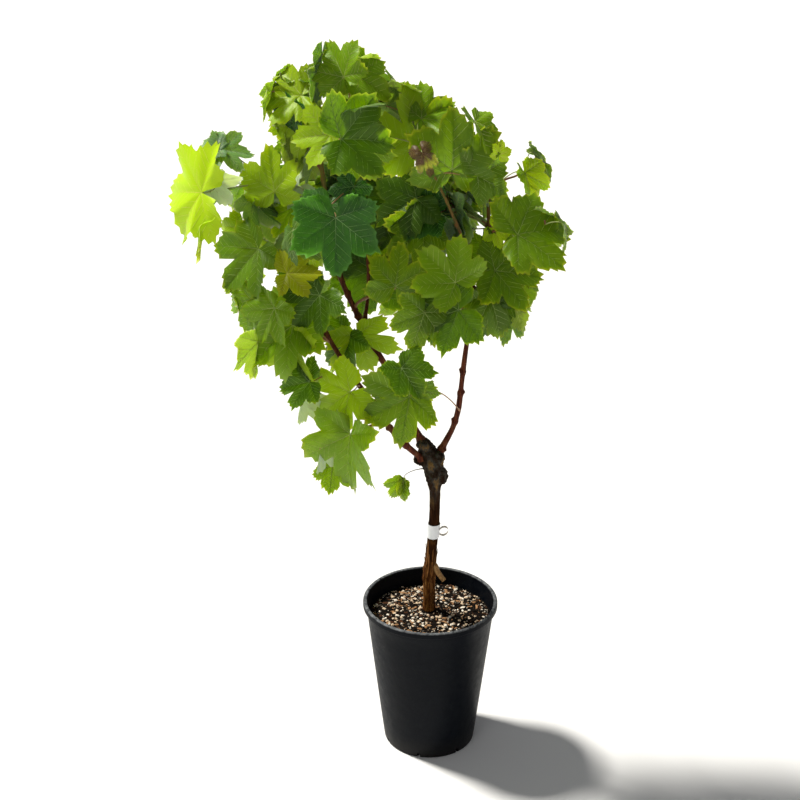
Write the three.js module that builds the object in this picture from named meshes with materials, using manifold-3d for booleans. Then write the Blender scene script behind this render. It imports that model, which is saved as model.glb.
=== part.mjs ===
// A potted grapevine: a grafted stem in a plastic nursery pot, three canes that leave the
// swollen head of the stem, and a leaning, open head of leaves.
//
// Millimetres, +Z up. The origin is the centre of the pot's flat underside, so the plant
// stands on the plane Z = 0. -Y is the front, and the head of leaves leans towards -X.

import * as THREE from 'three';
import { mergeVertices } from 'three/addons/utils/BufferGeometryUtils.js';
import Module from 'manifold-3d';

const wasm = await Module();
wasm.setup();

// ------------------------------------------------------------------ driving dimensions

const CLEARANCE = 0.3; // between pieces that touch
const LEAF_CLEARANCE = 1.2; // between neighbouring leaf masses, and round the limbs in them

const POT = {
  height: 261,
  baseRadius: 75.5,
  neckRadius: 104.5, // outside of the wall just under the rim
  rimRadius: 110,
  rimHeight: 10,
  rimRound: 2.5,
  wall: 2.2,
  floor: 3,
  edgeBevel: 2,
  facets: 32,
};

const DRAIN = { count: 7, first: -65.7, width: 6, height: 9, depth: 10 };

const MIX = { edge: 231, crest: 240, flatRadius: 22, slopeRadius: 70 };

const STEM_SIDES = 10;
const STEM_STEPS = 20;
const KNUCKLE_DETAIL = 1;
const CANE_SIDES = 8;
const CANE_STEP = 44; // length of one straight facet of a cane

// ------------------------------------------------------------------ colours

const BLACK_PLASTIC = { color: 0x1d1f22, roughness: 0.45, metalness: 0 };
const POTTING_MIX = { color: 0x4a392b, roughness: 1, metalness: 0 };
const OLD_BARK = { color: 0x5b4330, roughness: 0.9, metalness: 0 };
const CUT_WOOD = { color: 0xb98a52, roughness: 0.8, metalness: 0 };
const CANE_BARK = { color: 0x7a3a26, roughness: 0.6, metalness: 0 };
const WHITE_PLASTIC = { color: 0xe6e8ea, roughness: 0.4, metalness: 0 };
const LEAF_TONES = [0x4f8f1f, 0x6fae22, 0x3c7a22, 0x2f6b35, 0x5c9d25];

// ------------------------------------------------------------------ solids and meshes

// Merges a geometry's shared vertices and hands it over as a solid.
function solidOf(geometry) {
  const plain = geometry.clone();
  plain.deleteAttribute('normal');
  plain.deleteAttribute('uv');
  const merged = mergeVertices(plain, 1e-4);
  return new wasm.Manifold(new wasm.Mesh({
    numProp: 3,
    vertProperties: new Float32Array(merged.attributes.position.array),
    triVerts: new Uint32Array(merged.index.array),
  }));
}

// Turns a solid back into a geometry with flat faces.
function geometryOf(solid) {
  const mesh = solid.getMesh();
  const geometry = new THREE.BufferGeometry();
  geometry.setAttribute('position', new THREE.BufferAttribute(mesh.vertProperties, 3));
  geometry.setIndex(new THREE.BufferAttribute(mesh.triVerts, 1));
  geometry.computeVertexNormals();
  return geometry;
}

// The largest of the separate lumps that a cut leaves.
function largestLump(solid) {
  const lumps = solid.decompose();
  return lumps.reduce((best, lump) => (lump.volume() > best.volume() ? lump : best));
}

const vine = new THREE.Group();

function addPiece(name, solid, finish) {
  const piece = new THREE.Mesh(geometryOf(solid), new THREE.MeshStandardMaterial(finish));
  piece.name = name;
  vine.add(piece);
}

// ------------------------------------------------------------------ shapes

// A body of revolution about +Z, from its outline's [radius, height] points.
function turned(outline) {
  const points = outline.map(([radius, height]) => new THREE.Vector2(radius, height));
  const geometry = new THREE.LatheGeometry(points, POT.facets);
  geometry.rotateX(Math.PI / 2);
  return solidOf(geometry);
}

// A value that runs smoothly through its [share, value] stops.
function profile(stops) {
  return (share) => {
    const next = stops.findIndex(([stop]) => stop >= share);
    if (next <= 0) return stops[next === 0 ? 0 : stops.length - 1][1];
    const [from, low] = stops[next - 1];
    const [to, high] = stops[next];
    return low + (high - low) * THREE.MathUtils.smoothstep(share, from, to);
  };
}

function curveThrough(points) {
  return new THREE.CatmullRomCurve3(points.map((point) => new THREE.Vector3(...point)));
}

// A limb: a capped cylinder of unit radius, bent along its curve and swollen to the radius
// that each share of its length calls for.
function limb({ curve, radiusAt, sides, steps }, extra = 0) {
  const geometry = new THREE.CylinderGeometry(1, 1, 1, sides, steps);
  const frames = curve.computeFrenetFrames(steps);
  const position = geometry.attributes.position;
  for (let i = 0; i < position.count; i++) {
    const share = THREE.MathUtils.clamp(position.getY(i) + 0.5, 0, 1);
    const step = Math.round(share * steps);
    const radius = radiusAt(share) + extra;
    const point = curve.getPointAt(share);
    point.addScaledVector(frames.binormals[step], position.getX(i) * radius);
    point.addScaledVector(frames.normals[step], position.getZ(i) * radius);
    position.setXYZ(i, point.x, point.y, point.z);
  }
  return solidOf(geometry);
}

// A rounded lump, larger by extra where a clearance is wanted.
function lump({ centre, half }, extra = 0) {
  const geometry = new THREE.IcosahedronGeometry(1, KNUCKLE_DETAIL);
  geometry.scale(...half.map((reach) => reach + extra));
  geometry.translate(...centre);
  return solidOf(geometry);
}

// ------------------------------------------------------------------ pot and potting mix

const wallSlope = (POT.neckRadius - POT.baseRadius) / (POT.height - POT.rimHeight);
const outsideAt = (height) => POT.baseRadius + wallSlope * height;
const insideAt = (height) => outsideAt(height) - POT.wall;

function pot() {
  const lip = POT.height - POT.rimHeight;
  const shell = turned([
    [0, 0],
    [POT.baseRadius - POT.edgeBevel, 0],
    [outsideAt(POT.edgeBevel), POT.edgeBevel],
    [POT.neckRadius, lip],
    [POT.rimRadius - POT.rimRound / 2, lip],
    [POT.rimRadius, lip + POT.rimRound],
    [POT.rimRadius, POT.height - POT.rimRound],
    [POT.rimRadius - POT.rimRound, POT.height],
    [insideAt(POT.height) + POT.rimRound / 2, POT.height],
    [insideAt(POT.height - POT.rimRound), POT.height - POT.rimRound],
    [insideAt(POT.floor), POT.floor],
    [0, POT.floor],
  ]);
  const holes = [];
  for (let k = 0; k < DRAIN.count; k++) {
    const slot = new THREE.BoxGeometry(DRAIN.width, DRAIN.depth, DRAIN.height * 2);
    slot.translate(0, -POT.baseRadius, 0);
    slot.rotateZ(THREE.MathUtils.degToRad(DRAIN.first + (360 / DRAIN.count) * k));
    holes.push(solidOf(slot));
  }
  return holes.reduce((body, hole) => body.subtract(hole), shell);
}

function pottingMix() {
  const bottom = POT.floor + CLEARANCE;
  return turned([
    [0, bottom],
    [insideAt(bottom) - CLEARANCE, bottom],
    [insideAt(MIX.edge) - CLEARANCE, MIX.edge],
    [MIX.slopeRadius, (MIX.edge + 2 * MIX.crest) / 3],
    [MIX.flatRadius, MIX.crest],
    [0, MIX.crest],
  ]);
}

// ------------------------------------------------------------------ stem

// The grafted stem: a slight flare at the soil, a knuckle with a pruned stub above it, a
// straight middle, and the swollen head from which the canes grow.
const FOOT = MIX.crest + CLEARANCE;
const STEM = {
  curve: curveThrough([
    [-2, 2, FOOT],
    [-2, 2, 268],
    [-2, 1, 300],
    [1, 0, 345],
    [5, 0, 400],
    [6, 0, 465],
    [4, 0, 500],
    [-6, 0, 528],
    [-14, 0, 550],
  ]),
  radiusAt: profile([
    [0, 11],
    [0.05, 10],
    [0.15, 9.8],
    [0.22, 11.2],
    [0.3, 9.2],
    [0.45, 8.8],
    [0.7, 8.9],
    [0.76, 12.5],
    [0.82, 17.5],
    [0.9, 17],
    [0.96, 13],
    [1, 7],
  ]),
  sides: STEM_SIDES,
  steps: STEM_STEPS,
};

const KNUCKLES = [
  { centre: [-9, 0, 301], half: [5, 6, 11] },
  { centre: [17, -5, 489], half: [9.5, 11, 15] },
  { centre: [-19, -2, 517], half: [10, 12, 11] },
  { centre: [10, -3, 521], half: [12, 13, 12] },
  { centre: [-13, -4, 543], half: [10, 11, 10] },
];

function stem(extra = 0) {
  return KNUCKLES.reduce((body, knuckle) => body.add(lump(knuckle, extra)), limb(STEM, extra));
}

const STUB = {
  curve: curveThrough([[4, -2, 322], [14, -7, 311], [25, -11, 299]]),
  radiusAt: profile([[0, 5.5], [1, 4.8]]),
  sides: CANE_SIDES,
  steps: 3,
};

// ------------------------------------------------------------------ stem label

const LABEL = {
  from: 377,
  to: 401,
  thickness: 1,
  loopRadius: 8.5,
  loopWidth: 7,
  loopWall: 1.4,
  loopCentre: [20.5, 0, 387.5],
  sliceSide: 60, // wider than the stem, to cut the band's length out of a sleeve round it
};

// A wrapped plastic band, with its tail standing out to the side as a small loop.
function label() {
  const slice = new THREE.BoxGeometry(LABEL.sliceSide, LABEL.sliceSide, LABEL.to - LABEL.from);
  slice.translate(0, 0, (LABEL.from + LABEL.to) / 2);
  const sleeve = limb(STEM, CLEARANCE + LABEL.thickness).intersect(solidOf(slice));
  const ring = new THREE.Shape().absarc(0, 0, LABEL.loopRadius, 0, Math.PI * 2);
  ring.holes.push(new THREE.Path().absarc(0, 0, LABEL.loopRadius - LABEL.loopWall, 0, Math.PI * 2));
  const loop = new THREE.ExtrudeGeometry(ring, {
    depth: LABEL.loopWidth,
    bevelEnabled: false,
    curveSegments: 8,
  });
  loop.translate(0, 0, -LABEL.loopWidth / 2);
  loop.rotateX(Math.PI / 2);
  loop.translate(...LABEL.loopCentre);
  return sleeve.add(solidOf(loop)).subtract(limb(STEM, CLEARANCE));
}

// ------------------------------------------------------------------ canes and shoots

// Each cane is one tapering limb that ends a little way inside the mass of leaves it feeds.
const CANES = {
  cane_left: {
    foot: 5.6,
    tip: 3.2,
    points: [
      [-8, -4, 512], [-25, -10, 531], [-43, -28, 554], [-58, -38, 576], [-88, -46, 628],
      [-123, -50, 681], [-158, -44, 742], [-188, -34, 800],
    ],
  },
  cane_centre: {
    foot: 6.4,
    tip: 3.4,
    points: [
      [-8, 0, 540], [-27, 0, 564], [-40, 0, 591], [-70, 0, 672], [-89, 0, 702],
      [-105, 0, 741], [-121, 0, 773], [-142, 0, 827], [-158, 3, 930], [-166, 5, 1012],
    ],
  },
  cane_right: {
    foot: 5.4,
    tip: 3,
    points: [
      [8, 0, 522], [19, 0, 538], [31, 0, 562], [41, 0, 598], [46, 0, 653],
      [54, 0, 725], [64, 0, 790], [77, 2, 835], [82, 6, 915], [76, 10, 975],
    ],
  },
  shoot_front: {
    foot: 3,
    tip: 1.8,
    points: [[61, -5, 798], [46, -40, 878], [24, -62, 940], [-4, -64, 1000], [-20, -58, 1030]],
  },
  shoot_back: {
    foot: 3.4,
    tip: 2.2,
    points: [[-103, 5, 748], [-98, 36, 784], [-100, 84, 832], [-110, 124, 880]],
  },
  shoot_back_right: {
    foot: 3.2,
    tip: 2.2,
    points: [[58, 6, 748], [58, 40, 784], [54, 84, 824], [46, 118, 858]],
  },
};

function caneLimb({ foot, tip, points }) {
  const curve = curveThrough(points);
  return {
    curve,
    radiusAt: (share) => foot + (tip - foot) * share,
    sides: CANE_SIDES,
    steps: Math.ceil(curve.getLength() / CANE_STEP) + 1,
  };
}

// ------------------------------------------------------------------ masses of leaves

// Each mass is a thin, lumpy pad of leaves: its centre, its half sizes along X, Y and Z, and
// the angles it is tilted by about X and Y. Outer masses come first, so they keep their whole
// outline, and those behind and between them are cut back to leave room.
const MASSES = {
  leaves_top_right: { centre: [-95, 30, 1116], half: [37, 28, 38], tilt: [-10, 18] },
  leaves_top_left: { centre: [-151, 0, 1130], half: [31, 28, 43], tilt: [12, -22] },
  leaves_high_left: { centre: [-213, 10, 1092], half: [55, 32, 48], tilt: [8, 12] },
  leaves_left_tip: { centre: [-340, -58, 963], half: [42, 30, 78], tilt: [-8, 6] },
  leaves_left_shoulder: { centre: [-309, 22, 1013], half: [46, 28, 28], tilt: [6, 10] },
  leaves_left_side: { centre: [-291, -4, 820], half: [39, 34, 62], tilt: [10, -8] },
  leaves_left_bottom: { centre: [-239, -45, 751], half: [56, 32, 68], tilt: [-10, 24] },
  leaves_bottom_tip: { centre: [-142, -115, 577], half: [45, 28, 70], tilt: [14, 4] },
  leaves_right_tip: { centre: [146, 40, 971], half: [26, 22, 43], tilt: [0, -18] },
  leaves_right_outer: { centre: [149, -80, 920], half: [47, 30, 48], tilt: [16, 14] },
  leaves_right_lower: { centre: [117, -5, 793], half: [54, 34, 86], tilt: [-6, 16] },
  leaves_upper_right: { centre: [38, -36, 1034], half: [57, 34, 68], tilt: [14, 12] },
  leaves_upper_middle: { centre: [-30, 46, 1046], half: [38, 34, 58], tilt: [-8, 6] },
  leaves_front_high: { centre: [-115, -96, 1058], half: [66, 32, 63], tilt: [22, -8] },
  leaves_front_middle: { centre: [-144, -136, 938], half: [73, 32, 69], tilt: [20, 6] },
  leaves_front_low: { centre: [-41, -115, 672], half: [72, 32, 65], tilt: [18, -6] },
  leaves_low_left: { centre: [-170, -76, 682], half: [52, 30, 48], tilt: [10, 14] },
  leaves_inner_left: { centre: [-253, 48, 934], half: [56, 36, 62], tilt: [-6, 10] },
  leaves_upper_left: { centre: [-198, 34, 1008], half: [44, 34, 50], tilt: [6, -10] },
  leaves_middle_left: { centre: [-190, -46, 824], half: [52, 34, 62], tilt: [8, 12] },
  leaves_low_middle: { centre: [-116, 2, 702], half: [56, 32, 42], tilt: [-10, 4] },
  leaves_middle: { centre: [-53, -57, 822], half: [48, 32, 66], tilt: [12, -10] },
  leaves_right_middle: { centre: [6, -95, 802], half: [52, 32, 60], tilt: [10, 8] },
  leaves_right_inner: { centre: [34, 18, 910], half: [64, 38, 70], tilt: [-8, -6] },
  leaves_back_top: { centre: [-86, 134, 1040], half: [70, 36, 62], tilt: [-20, 8] },
  leaves_back_left: { centre: [-236, 138, 868], half: [58, 38, 80], tilt: [-12, -10] },
  leaves_back_middle: { centre: [-120, 148, 922], half: [66, 40, 72], tilt: [-14, 4] },
  leaves_back_right: { centre: [44, 142, 892], half: [66, 38, 84], tilt: [-14, 10] },
  leaves_back_low: { centre: [-12, 118, 770], half: [64, 36, 52], tilt: [-16, -8] },
  leaf_hanging: { centre: [-54, -10, 467], half: [17, 10, 28], tilt: [0, 10] },
};

const LUMPS = { count: 5, height: 0.085, slowest: 2.6, quicker: 1.1, detail: 2 };

// A repeatable number from 0 to 1 for a mass and a use.
function share(seed, use) {
  const wave = Math.sin(seed * 12.9898 + use * 78.233) * 43758.5453;
  return wave - Math.floor(wave);
}

// A pad of leaves: a ball swollen by a few waves that run through it in different directions.
function leafMass({ centre, half, tilt }, seed, extra = 0) {
  const waves = [];
  for (let k = 0; k < LUMPS.count; k++) {
    const turn = share(seed, 3 * k) * Math.PI * 2;
    const rise = share(seed, 3 * k + 1) * 2 - 1;
    const flat = Math.sqrt(1 - rise * rise);
    waves.push({
      axis: new THREE.Vector3(flat * Math.cos(turn), flat * Math.sin(turn), rise),
      rate: LUMPS.slowest + LUMPS.quicker * k,
      phase: share(seed, 3 * k + 2) * Math.PI * 2,
    });
  }
  const geometry = new THREE.IcosahedronGeometry(1, LUMPS.detail);
  const position = geometry.attributes.position;
  const point = new THREE.Vector3();
  for (let i = 0; i < position.count; i++) {
    point.fromBufferAttribute(position, i);
    const swell = waves.reduce(
      (sum, wave) => sum + LUMPS.height * Math.sin(wave.rate * point.dot(wave.axis) + wave.phase),
      1,
    );
    const [x, y, z] = half.map((reach) => reach * swell + extra);
    position.setXYZ(i, point.x * x, point.y * y, point.z * z);
  }
  geometry.rotateX(THREE.MathUtils.degToRad(tilt[0]));
  geometry.rotateY(THREE.MathUtils.degToRad(tilt[1]));
  geometry.translate(...centre);
  return solidOf(geometry);
}

// ------------------------------------------------------------------ assembly

addPiece('pot', pot(), BLACK_PLASTIC);
addPiece('potting_mix', pottingMix(), POTTING_MIX);
addPiece('trunk', stem(), OLD_BARK);
addPiece('pruned_stub', limb(STUB).subtract(stem(CLEARANCE)), CUT_WOOD);
addPiece('stem_label', label(), WHITE_PLASTIC);

const woodRoom = [stem(CLEARANCE)];
for (const [name, sizes] of Object.entries(CANES)) {
  const wood = caneLimb(sizes);
  const solid = woodRoom.reduce((body, room) => body.subtract(room), limb(wood));
  addPiece(name, largestLump(solid), CANE_BARK);
  woodRoom.push(limb(wood, CLEARANCE));
}

const leafRoom = Object.values(CANES).map((sizes) => limb(caneLimb(sizes), LEAF_CLEARANCE));
Object.entries(MASSES).forEach(([name, sizes], seed) => {
  const whole = leafMass(sizes, seed);
  const left = leafRoom.reduce((body, room) => body.subtract(room), whole);
  const tone = { color: LEAF_TONES[seed % LEAF_TONES.length], roughness: 0.8, metalness: 0 };
  addPiece(name, largestLump(left), tone);
  leafRoom.push(leafMass(sizes, seed, LEAF_CLEARANCE));
});

export default vine;
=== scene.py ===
# %% [markdown]
# # A potted grapevine
#
# A young grafted vine stands in a tall black nursery pot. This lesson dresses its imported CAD
# model: bark is raised on the stem and the canes, the pot gets its rolled rim and its dusty
# black plastic, the soil gets its chips and gravel, and each solid mass of leaves gives way to
# shoots, leaf stalks and lobed leaves that grow on from the canes by a seeded rule.
#
# Everything is in metres, with Z up and the front of the plant facing -Y.

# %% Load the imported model
import math
import random

import bmesh
import bpy
import numpy as np
from mathutils import Matrix, Vector, noise
from mathutils.bvhtree import BVHTree


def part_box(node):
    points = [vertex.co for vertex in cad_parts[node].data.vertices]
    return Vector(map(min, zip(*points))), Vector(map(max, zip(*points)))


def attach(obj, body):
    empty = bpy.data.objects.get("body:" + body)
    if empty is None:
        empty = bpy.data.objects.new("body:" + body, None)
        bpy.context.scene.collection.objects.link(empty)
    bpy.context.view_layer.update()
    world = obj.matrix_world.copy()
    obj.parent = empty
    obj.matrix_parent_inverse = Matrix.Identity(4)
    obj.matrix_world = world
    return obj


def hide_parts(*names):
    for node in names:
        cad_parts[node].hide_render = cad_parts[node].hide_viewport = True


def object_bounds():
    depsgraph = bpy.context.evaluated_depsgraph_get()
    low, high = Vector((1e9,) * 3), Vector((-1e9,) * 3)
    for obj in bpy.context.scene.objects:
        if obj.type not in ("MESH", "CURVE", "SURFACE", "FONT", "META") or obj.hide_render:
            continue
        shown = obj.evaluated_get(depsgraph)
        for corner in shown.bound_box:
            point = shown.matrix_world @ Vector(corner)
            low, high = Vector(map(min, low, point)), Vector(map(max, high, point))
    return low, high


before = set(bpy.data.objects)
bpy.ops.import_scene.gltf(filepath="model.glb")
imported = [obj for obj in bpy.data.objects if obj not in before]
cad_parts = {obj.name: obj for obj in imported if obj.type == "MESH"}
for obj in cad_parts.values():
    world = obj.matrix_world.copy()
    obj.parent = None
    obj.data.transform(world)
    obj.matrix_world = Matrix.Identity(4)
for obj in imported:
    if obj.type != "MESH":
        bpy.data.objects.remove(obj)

cad_low, cad_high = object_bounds()
MM = 0.001
print("CAD box", [round(v, 3) for v in cad_low], [round(v, 3) for v in cad_high])

# %% [markdown]
# ## Camera, floor and light
#
# The camera looks down a little from chest height, with a long lens, so the pot's rim shows
# as an open ellipse and the crown hardly at all from above. A large pale floor stands in for
# a studio. One warm Sun lamp, high on the left and a little behind, lights the floor evenly
# and shines through the leaves, which is what makes vine leaves glow. A broad soft lamp in
# front and a dim world lift the shade a little. The world would look grey behind the plant,
# so a Mix Shader gives the camera a white backdrop in its place; the light stays dim.

# %% Camera, floor and lamps
CAMERA_PLACE = Vector((-0.0495, -2.283, 1.621))
CAMERA_DIP = 0.4142  # radians below level
CAMERA_LENS = 72.36  # in millimetres
FLOOR_REACH = 30
FLOOR_GREY = 0.86
TOWARDS_SUN = Vector((-0.66, 0.34, 1.0))
SUN_STRENGTH = 5.2
SUN_WIDTH = math.radians(9)  # a wider sun gives softer shadows
WORLD_STRENGTH = 0.19
BACKDROP_STRENGTH = 1.0


def add_camera():
    camera = bpy.data.objects.new("camera", bpy.data.cameras.new("camera"))
    camera.location = CAMERA_PLACE
    camera.rotation_euler = (math.pi / 2 - CAMERA_DIP, 0, 0)
    camera.data.lens = CAMERA_LENS
    bpy.context.scene.collection.objects.link(camera)
    bpy.context.scene.camera = camera


def add_lamp(name, place, aim, watts, size, colour):
    lamp = bpy.data.objects.new(name, bpy.data.lights.new(name, "AREA"))
    lamp.location = place
    lamp.rotation_euler = (Vector(aim) - Vector(place)).to_track_quat("-Z", "Y").to_euler()
    lamp.data.energy = watts
    lamp.data.size = size
    lamp.data.color = colour
    bpy.context.scene.collection.objects.link(lamp)


def add_floor():
    mesh = bpy.data.meshes.new("studio_floor")
    corners = [(x * FLOOR_REACH, y * FLOOR_REACH, 0) for x, y in ((-1, -1), (1, -1), (1, 1), (-1, 1))]
    mesh.from_pydata(corners, [], [(0, 1, 2, 3)])
    floor = bpy.data.objects.new("studio_floor", mesh)
    pale = bpy.data.materials.new("studio_floor")
    pale.use_nodes = True
    shader = pale.node_tree.nodes["Principled BSDF"]
    shader.inputs["Base Color"].default_value = (FLOOR_GREY, FLOOR_GREY, FLOOR_GREY, 1)
    shader.inputs["Roughness"].default_value = 0.9
    mesh.materials.append(pale)
    bpy.context.scene.collection.objects.link(floor)


def add_sun():
    sun = bpy.data.objects.new("sun_lamp", bpy.data.lights.new("sun_lamp", "SUN"))
    sun.rotation_euler = TOWARDS_SUN.to_track_quat("Z", "Y").to_euler()
    sun.data.energy = SUN_STRENGTH
    sun.data.angle = SUN_WIDTH
    sun.data.color = (1.0, 0.97, 0.9)
    bpy.context.scene.collection.objects.link(sun)


def add_world():
    """A dim, even light from all round, with a pale backdrop where the camera sees it."""
    world = bpy.data.worlds.new("studio")
    bpy.context.scene.world = world
    world.use_nodes = True
    nodes, links = world.node_tree.nodes, world.node_tree.links
    glow = nodes["Background"]
    glow.inputs["Color"].default_value = (0.97, 0.98, 1.0, 1)
    glow.inputs["Strength"].default_value = WORLD_STRENGTH
    backdrop = nodes.new("ShaderNodeBackground")
    backdrop.inputs["Color"].default_value = (1, 1, 1, 1)
    backdrop.inputs["Strength"].default_value = BACKDROP_STRENGTH
    either = nodes.new("ShaderNodeMixShader")
    links.new(nodes.new("ShaderNodeLightPath").outputs["Is Camera Ray"], either.inputs["Fac"])
    links.new(glow.outputs["Background"], either.inputs[1])
    links.new(backdrop.outputs["Background"], either.inputs[2])
    links.new(either.outputs["Shader"], nodes["World Output"].inputs["Surface"])


add_camera()
add_floor()
add_sun()
add_lamp("front_lamp", (-1.2, -2.6, 2.4), (-0.05, 0, 0.7), 9, 1.4, (1.0, 1.0, 0.97))
add_world()
bpy.context.scene.view_settings.view_transform = "Standard"
print("camera at", tuple(round(v, 3) for v in CAMERA_PLACE), "lens", CAMERA_LENS, "mm")

# %% [markdown]
# ## Meshes from arrays
#
# Most pieces here are worked out as arrays of points and faces, because a formula for bark
# or for a leaf is easier to tune than modelling by hand. `Heap` collects many small shapes
# into one mesh, and remembers which finish each face takes. That is how a thousand chips of
# gravel or a spray of leaves becomes one piece. The helpers below it fill in faces between
# rings of points, weld seams, bake modifiers and set which edges look sharp.


# %% A heap of shapes that becomes one piece
class Heap:
    def __init__(self):
        self.points = []
        self.faces = []
        self.finishes = []
        self.count = 0

    def add(self, points, faces, finish=0):
        """Adds a shape; finish is the number of its material slot."""
        self.points.append(np.asarray(points, float))
        shifted = [tuple(int(corner) + self.count for corner in face) for face in faces]
        self.faces.extend(shifted)
        self.finishes.extend([finish] * len(shifted))
        self.count += len(points)

    def piece(self, name, finishes, record_slot, nodes=()):
        """Makes the object, gives it its finishes and hangs it on the root; record_slot is not used."""
        mesh = bpy.data.meshes.new(name)
        mesh.from_pydata(np.concatenate(self.points).tolist(), [], self.faces)
        for finish in finishes:
            mesh.materials.append(finish)
        mesh.polygons.foreach_set("material_index", self.finishes)
        mesh.polygons.foreach_set("use_smooth", [True] * len(self.faces))
        mesh.update()
        made = bpy.data.objects.new(name, mesh)
        bpy.context.scene.collection.objects.link(made)
        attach(made, "root")
        if nodes:
            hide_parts(*nodes)
        print(f"{name}: {len(self.faces)} faces")
        return made


# %% Helpers for faces, seams and edges
def rings_to_faces(rings, sides, closed=True):
    """Quads between rings of points, and a fan over each end when closed."""
    faces = []
    for ring in range(rings - 1):
        for side in range(sides):
            after = (side + 1) % sides
            low, high = ring * sides, (ring + 1) * sides
            faces.append((low + side, low + after, high + after, high + side))
    if closed:
        faces.append(tuple(reversed(range(sides))))
        faces.append(tuple(range((rings - 1) * sides, rings * sides)))
    return faces


def weld(piece, gap=1e-6):
    merged = piece.modifiers.new("weld", "WELD")
    merged.merge_threshold = gap
    apply_modifiers(piece)


def apply_modifiers(piece):
    """Bakes the modifiers into the mesh, by reading the evaluated mesh back."""
    depsgraph = bpy.context.evaluated_depsgraph_get()
    finished = bpy.data.meshes.new_from_object(piece.evaluated_get(depsgraph))
    finished.name = piece.data.name
    piece.modifiers.clear()
    piece.data = finished


def smooth_by_angle(piece, degrees):
    """Smooth faces with sharp edges where the surface turns by more than the angle."""
    mesh = piece.data
    mesh.polygons.foreach_set("use_smooth", [True] * len(mesh.polygons))
    mesh.set_sharp_from_angle(angle=math.radians(degrees))


# %% [markdown]
# ## Finishes
#
# A finish is a small network of shader nodes. Noise at a few scales gives a surface its
# mottling, and the same noise through a Bump node gives it its touch. Sizes in the network
# are in metres, read from the object's own coordinates, so a grain of 2 mm is 2 mm anywhere.


# %% Helpers for finishes
class Finish:
    def __init__(self, name, roughness=0.6):
        self.material = bpy.data.materials.new(name)
        self.material.use_nodes = True
        self.nodes = self.material.node_tree.nodes
        self.links = self.material.node_tree.links
        self.shader = self.nodes["Principled BSDF"]
        self.shader.inputs["Roughness"].default_value = roughness
        self.place = self.nodes.new("ShaderNodeTexCoord").outputs["Object"]

    def shine(self, level):
        self.shader.inputs["Specular IOR Level"].default_value = level

    def link(self, source, target):
        self.links.new(source, target)

    def stretched(self, scale):
        mapping = self.nodes.new("ShaderNodeMapping")
        mapping.inputs["Scale"].default_value = scale
        self.link(self.place, mapping.inputs["Vector"])
        return mapping.outputs["Vector"]

    def noise(self, grain, detail=4, rough=0.55, where=None):
        """Noise whose lumps are about one grain, in metres, across."""
        made = self.nodes.new("ShaderNodeTexNoise")
        made.inputs["Scale"].default_value = 1 / grain
        made.inputs["Detail"].default_value = detail
        made.inputs["Roughness"].default_value = rough
        self.link(where or self.place, made.inputs["Vector"])
        return made.outputs["Fac"]

    def cells(self, grain):
        """Rounded cells about one grain, in metres, across."""
        made = self.nodes.new("ShaderNodeTexVoronoi")
        made.inputs["Scale"].default_value = 1 / grain
        self.link(self.place, made.inputs["Vector"])
        return made.outputs["Distance"]

    def ramp(self, source, stops):
        made = self.nodes.new("ShaderNodeValToRGB")
        band = made.color_ramp
        while len(band.elements) < len(stops):
            band.elements.new(0.5)
        for element, (place, colour) in zip(band.elements, stops):
            element.position = place
            element.color = (*colour, 1)
        self.link(source, made.inputs["Fac"])
        return made.outputs["Color"]

    def blend(self, share, first, second):
        """first where share is 0, second where it is 1; each a colour or another output."""
        made = self.nodes.new("ShaderNodeMix")
        made.data_type = "RGBA"
        self.link(share, made.inputs["Factor"])
        for value, socket in ((first, made.inputs["A"]), (second, made.inputs["B"])):
            if isinstance(value, tuple):
                socket.default_value = (*value, 1)
            else:
                self.link(value, socket)
        return made.outputs["Result"]

    def grade(self, source, low, high, to_low=0.0, to_high=1.0):
        """Maps low to high onto to_low to to_high, and holds at the ends."""
        made = self.nodes.new("ShaderNodeMapRange")
        names = ("From Min", "From Max", "To Min", "To Max")
        for name, value in zip(names, (low, high, to_low, to_high)):
            made.inputs[name].default_value = value
        self.link(source, made.inputs["Value"])
        return made.outputs["Result"]

    def height(self):
        parts = self.nodes.new("ShaderNodeSeparateXYZ")
        self.link(self.place, parts.inputs["Vector"])
        return parts.outputs["Z"]

    def colour(self, value):
        socket = self.shader.inputs["Base Color"]
        if isinstance(value, tuple):
            socket.default_value = (*value, 1)
        else:
            self.link(value, socket)

    def bump(self, source, depth):
        """Raises the surface by source times depth, in metres; a second call adds to it."""
        made = self.nodes.new("ShaderNodeBump")
        made.inputs["Distance"].default_value = depth
        made.inputs["Strength"].default_value = 1.0
        self.link(source, made.inputs["Height"])
        normal = self.shader.inputs["Normal"]
        if normal.is_linked:
            self.link(normal.links[0].from_socket, made.inputs["Normal"])
        self.link(made.outputs["Normal"], normal)


# %% [markdown]
# ## The pot
#
# A nursery pot is blown or moulded from thin black plastic: a straight taper, a flat foot
# with drain slots round its edge, and a rim rolled over for stiffness. A profile turned about
# the axis gives all of that. It could be a Screw modifier on a curve; rings of points in a
# loop are as short, and let the rim's roll be a true arc. The wall gets a very slight
# unevenness, because a thin pot full of soil is never quite round. The drain slots are cut
# by a Boolean, with one box for each.

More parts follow.
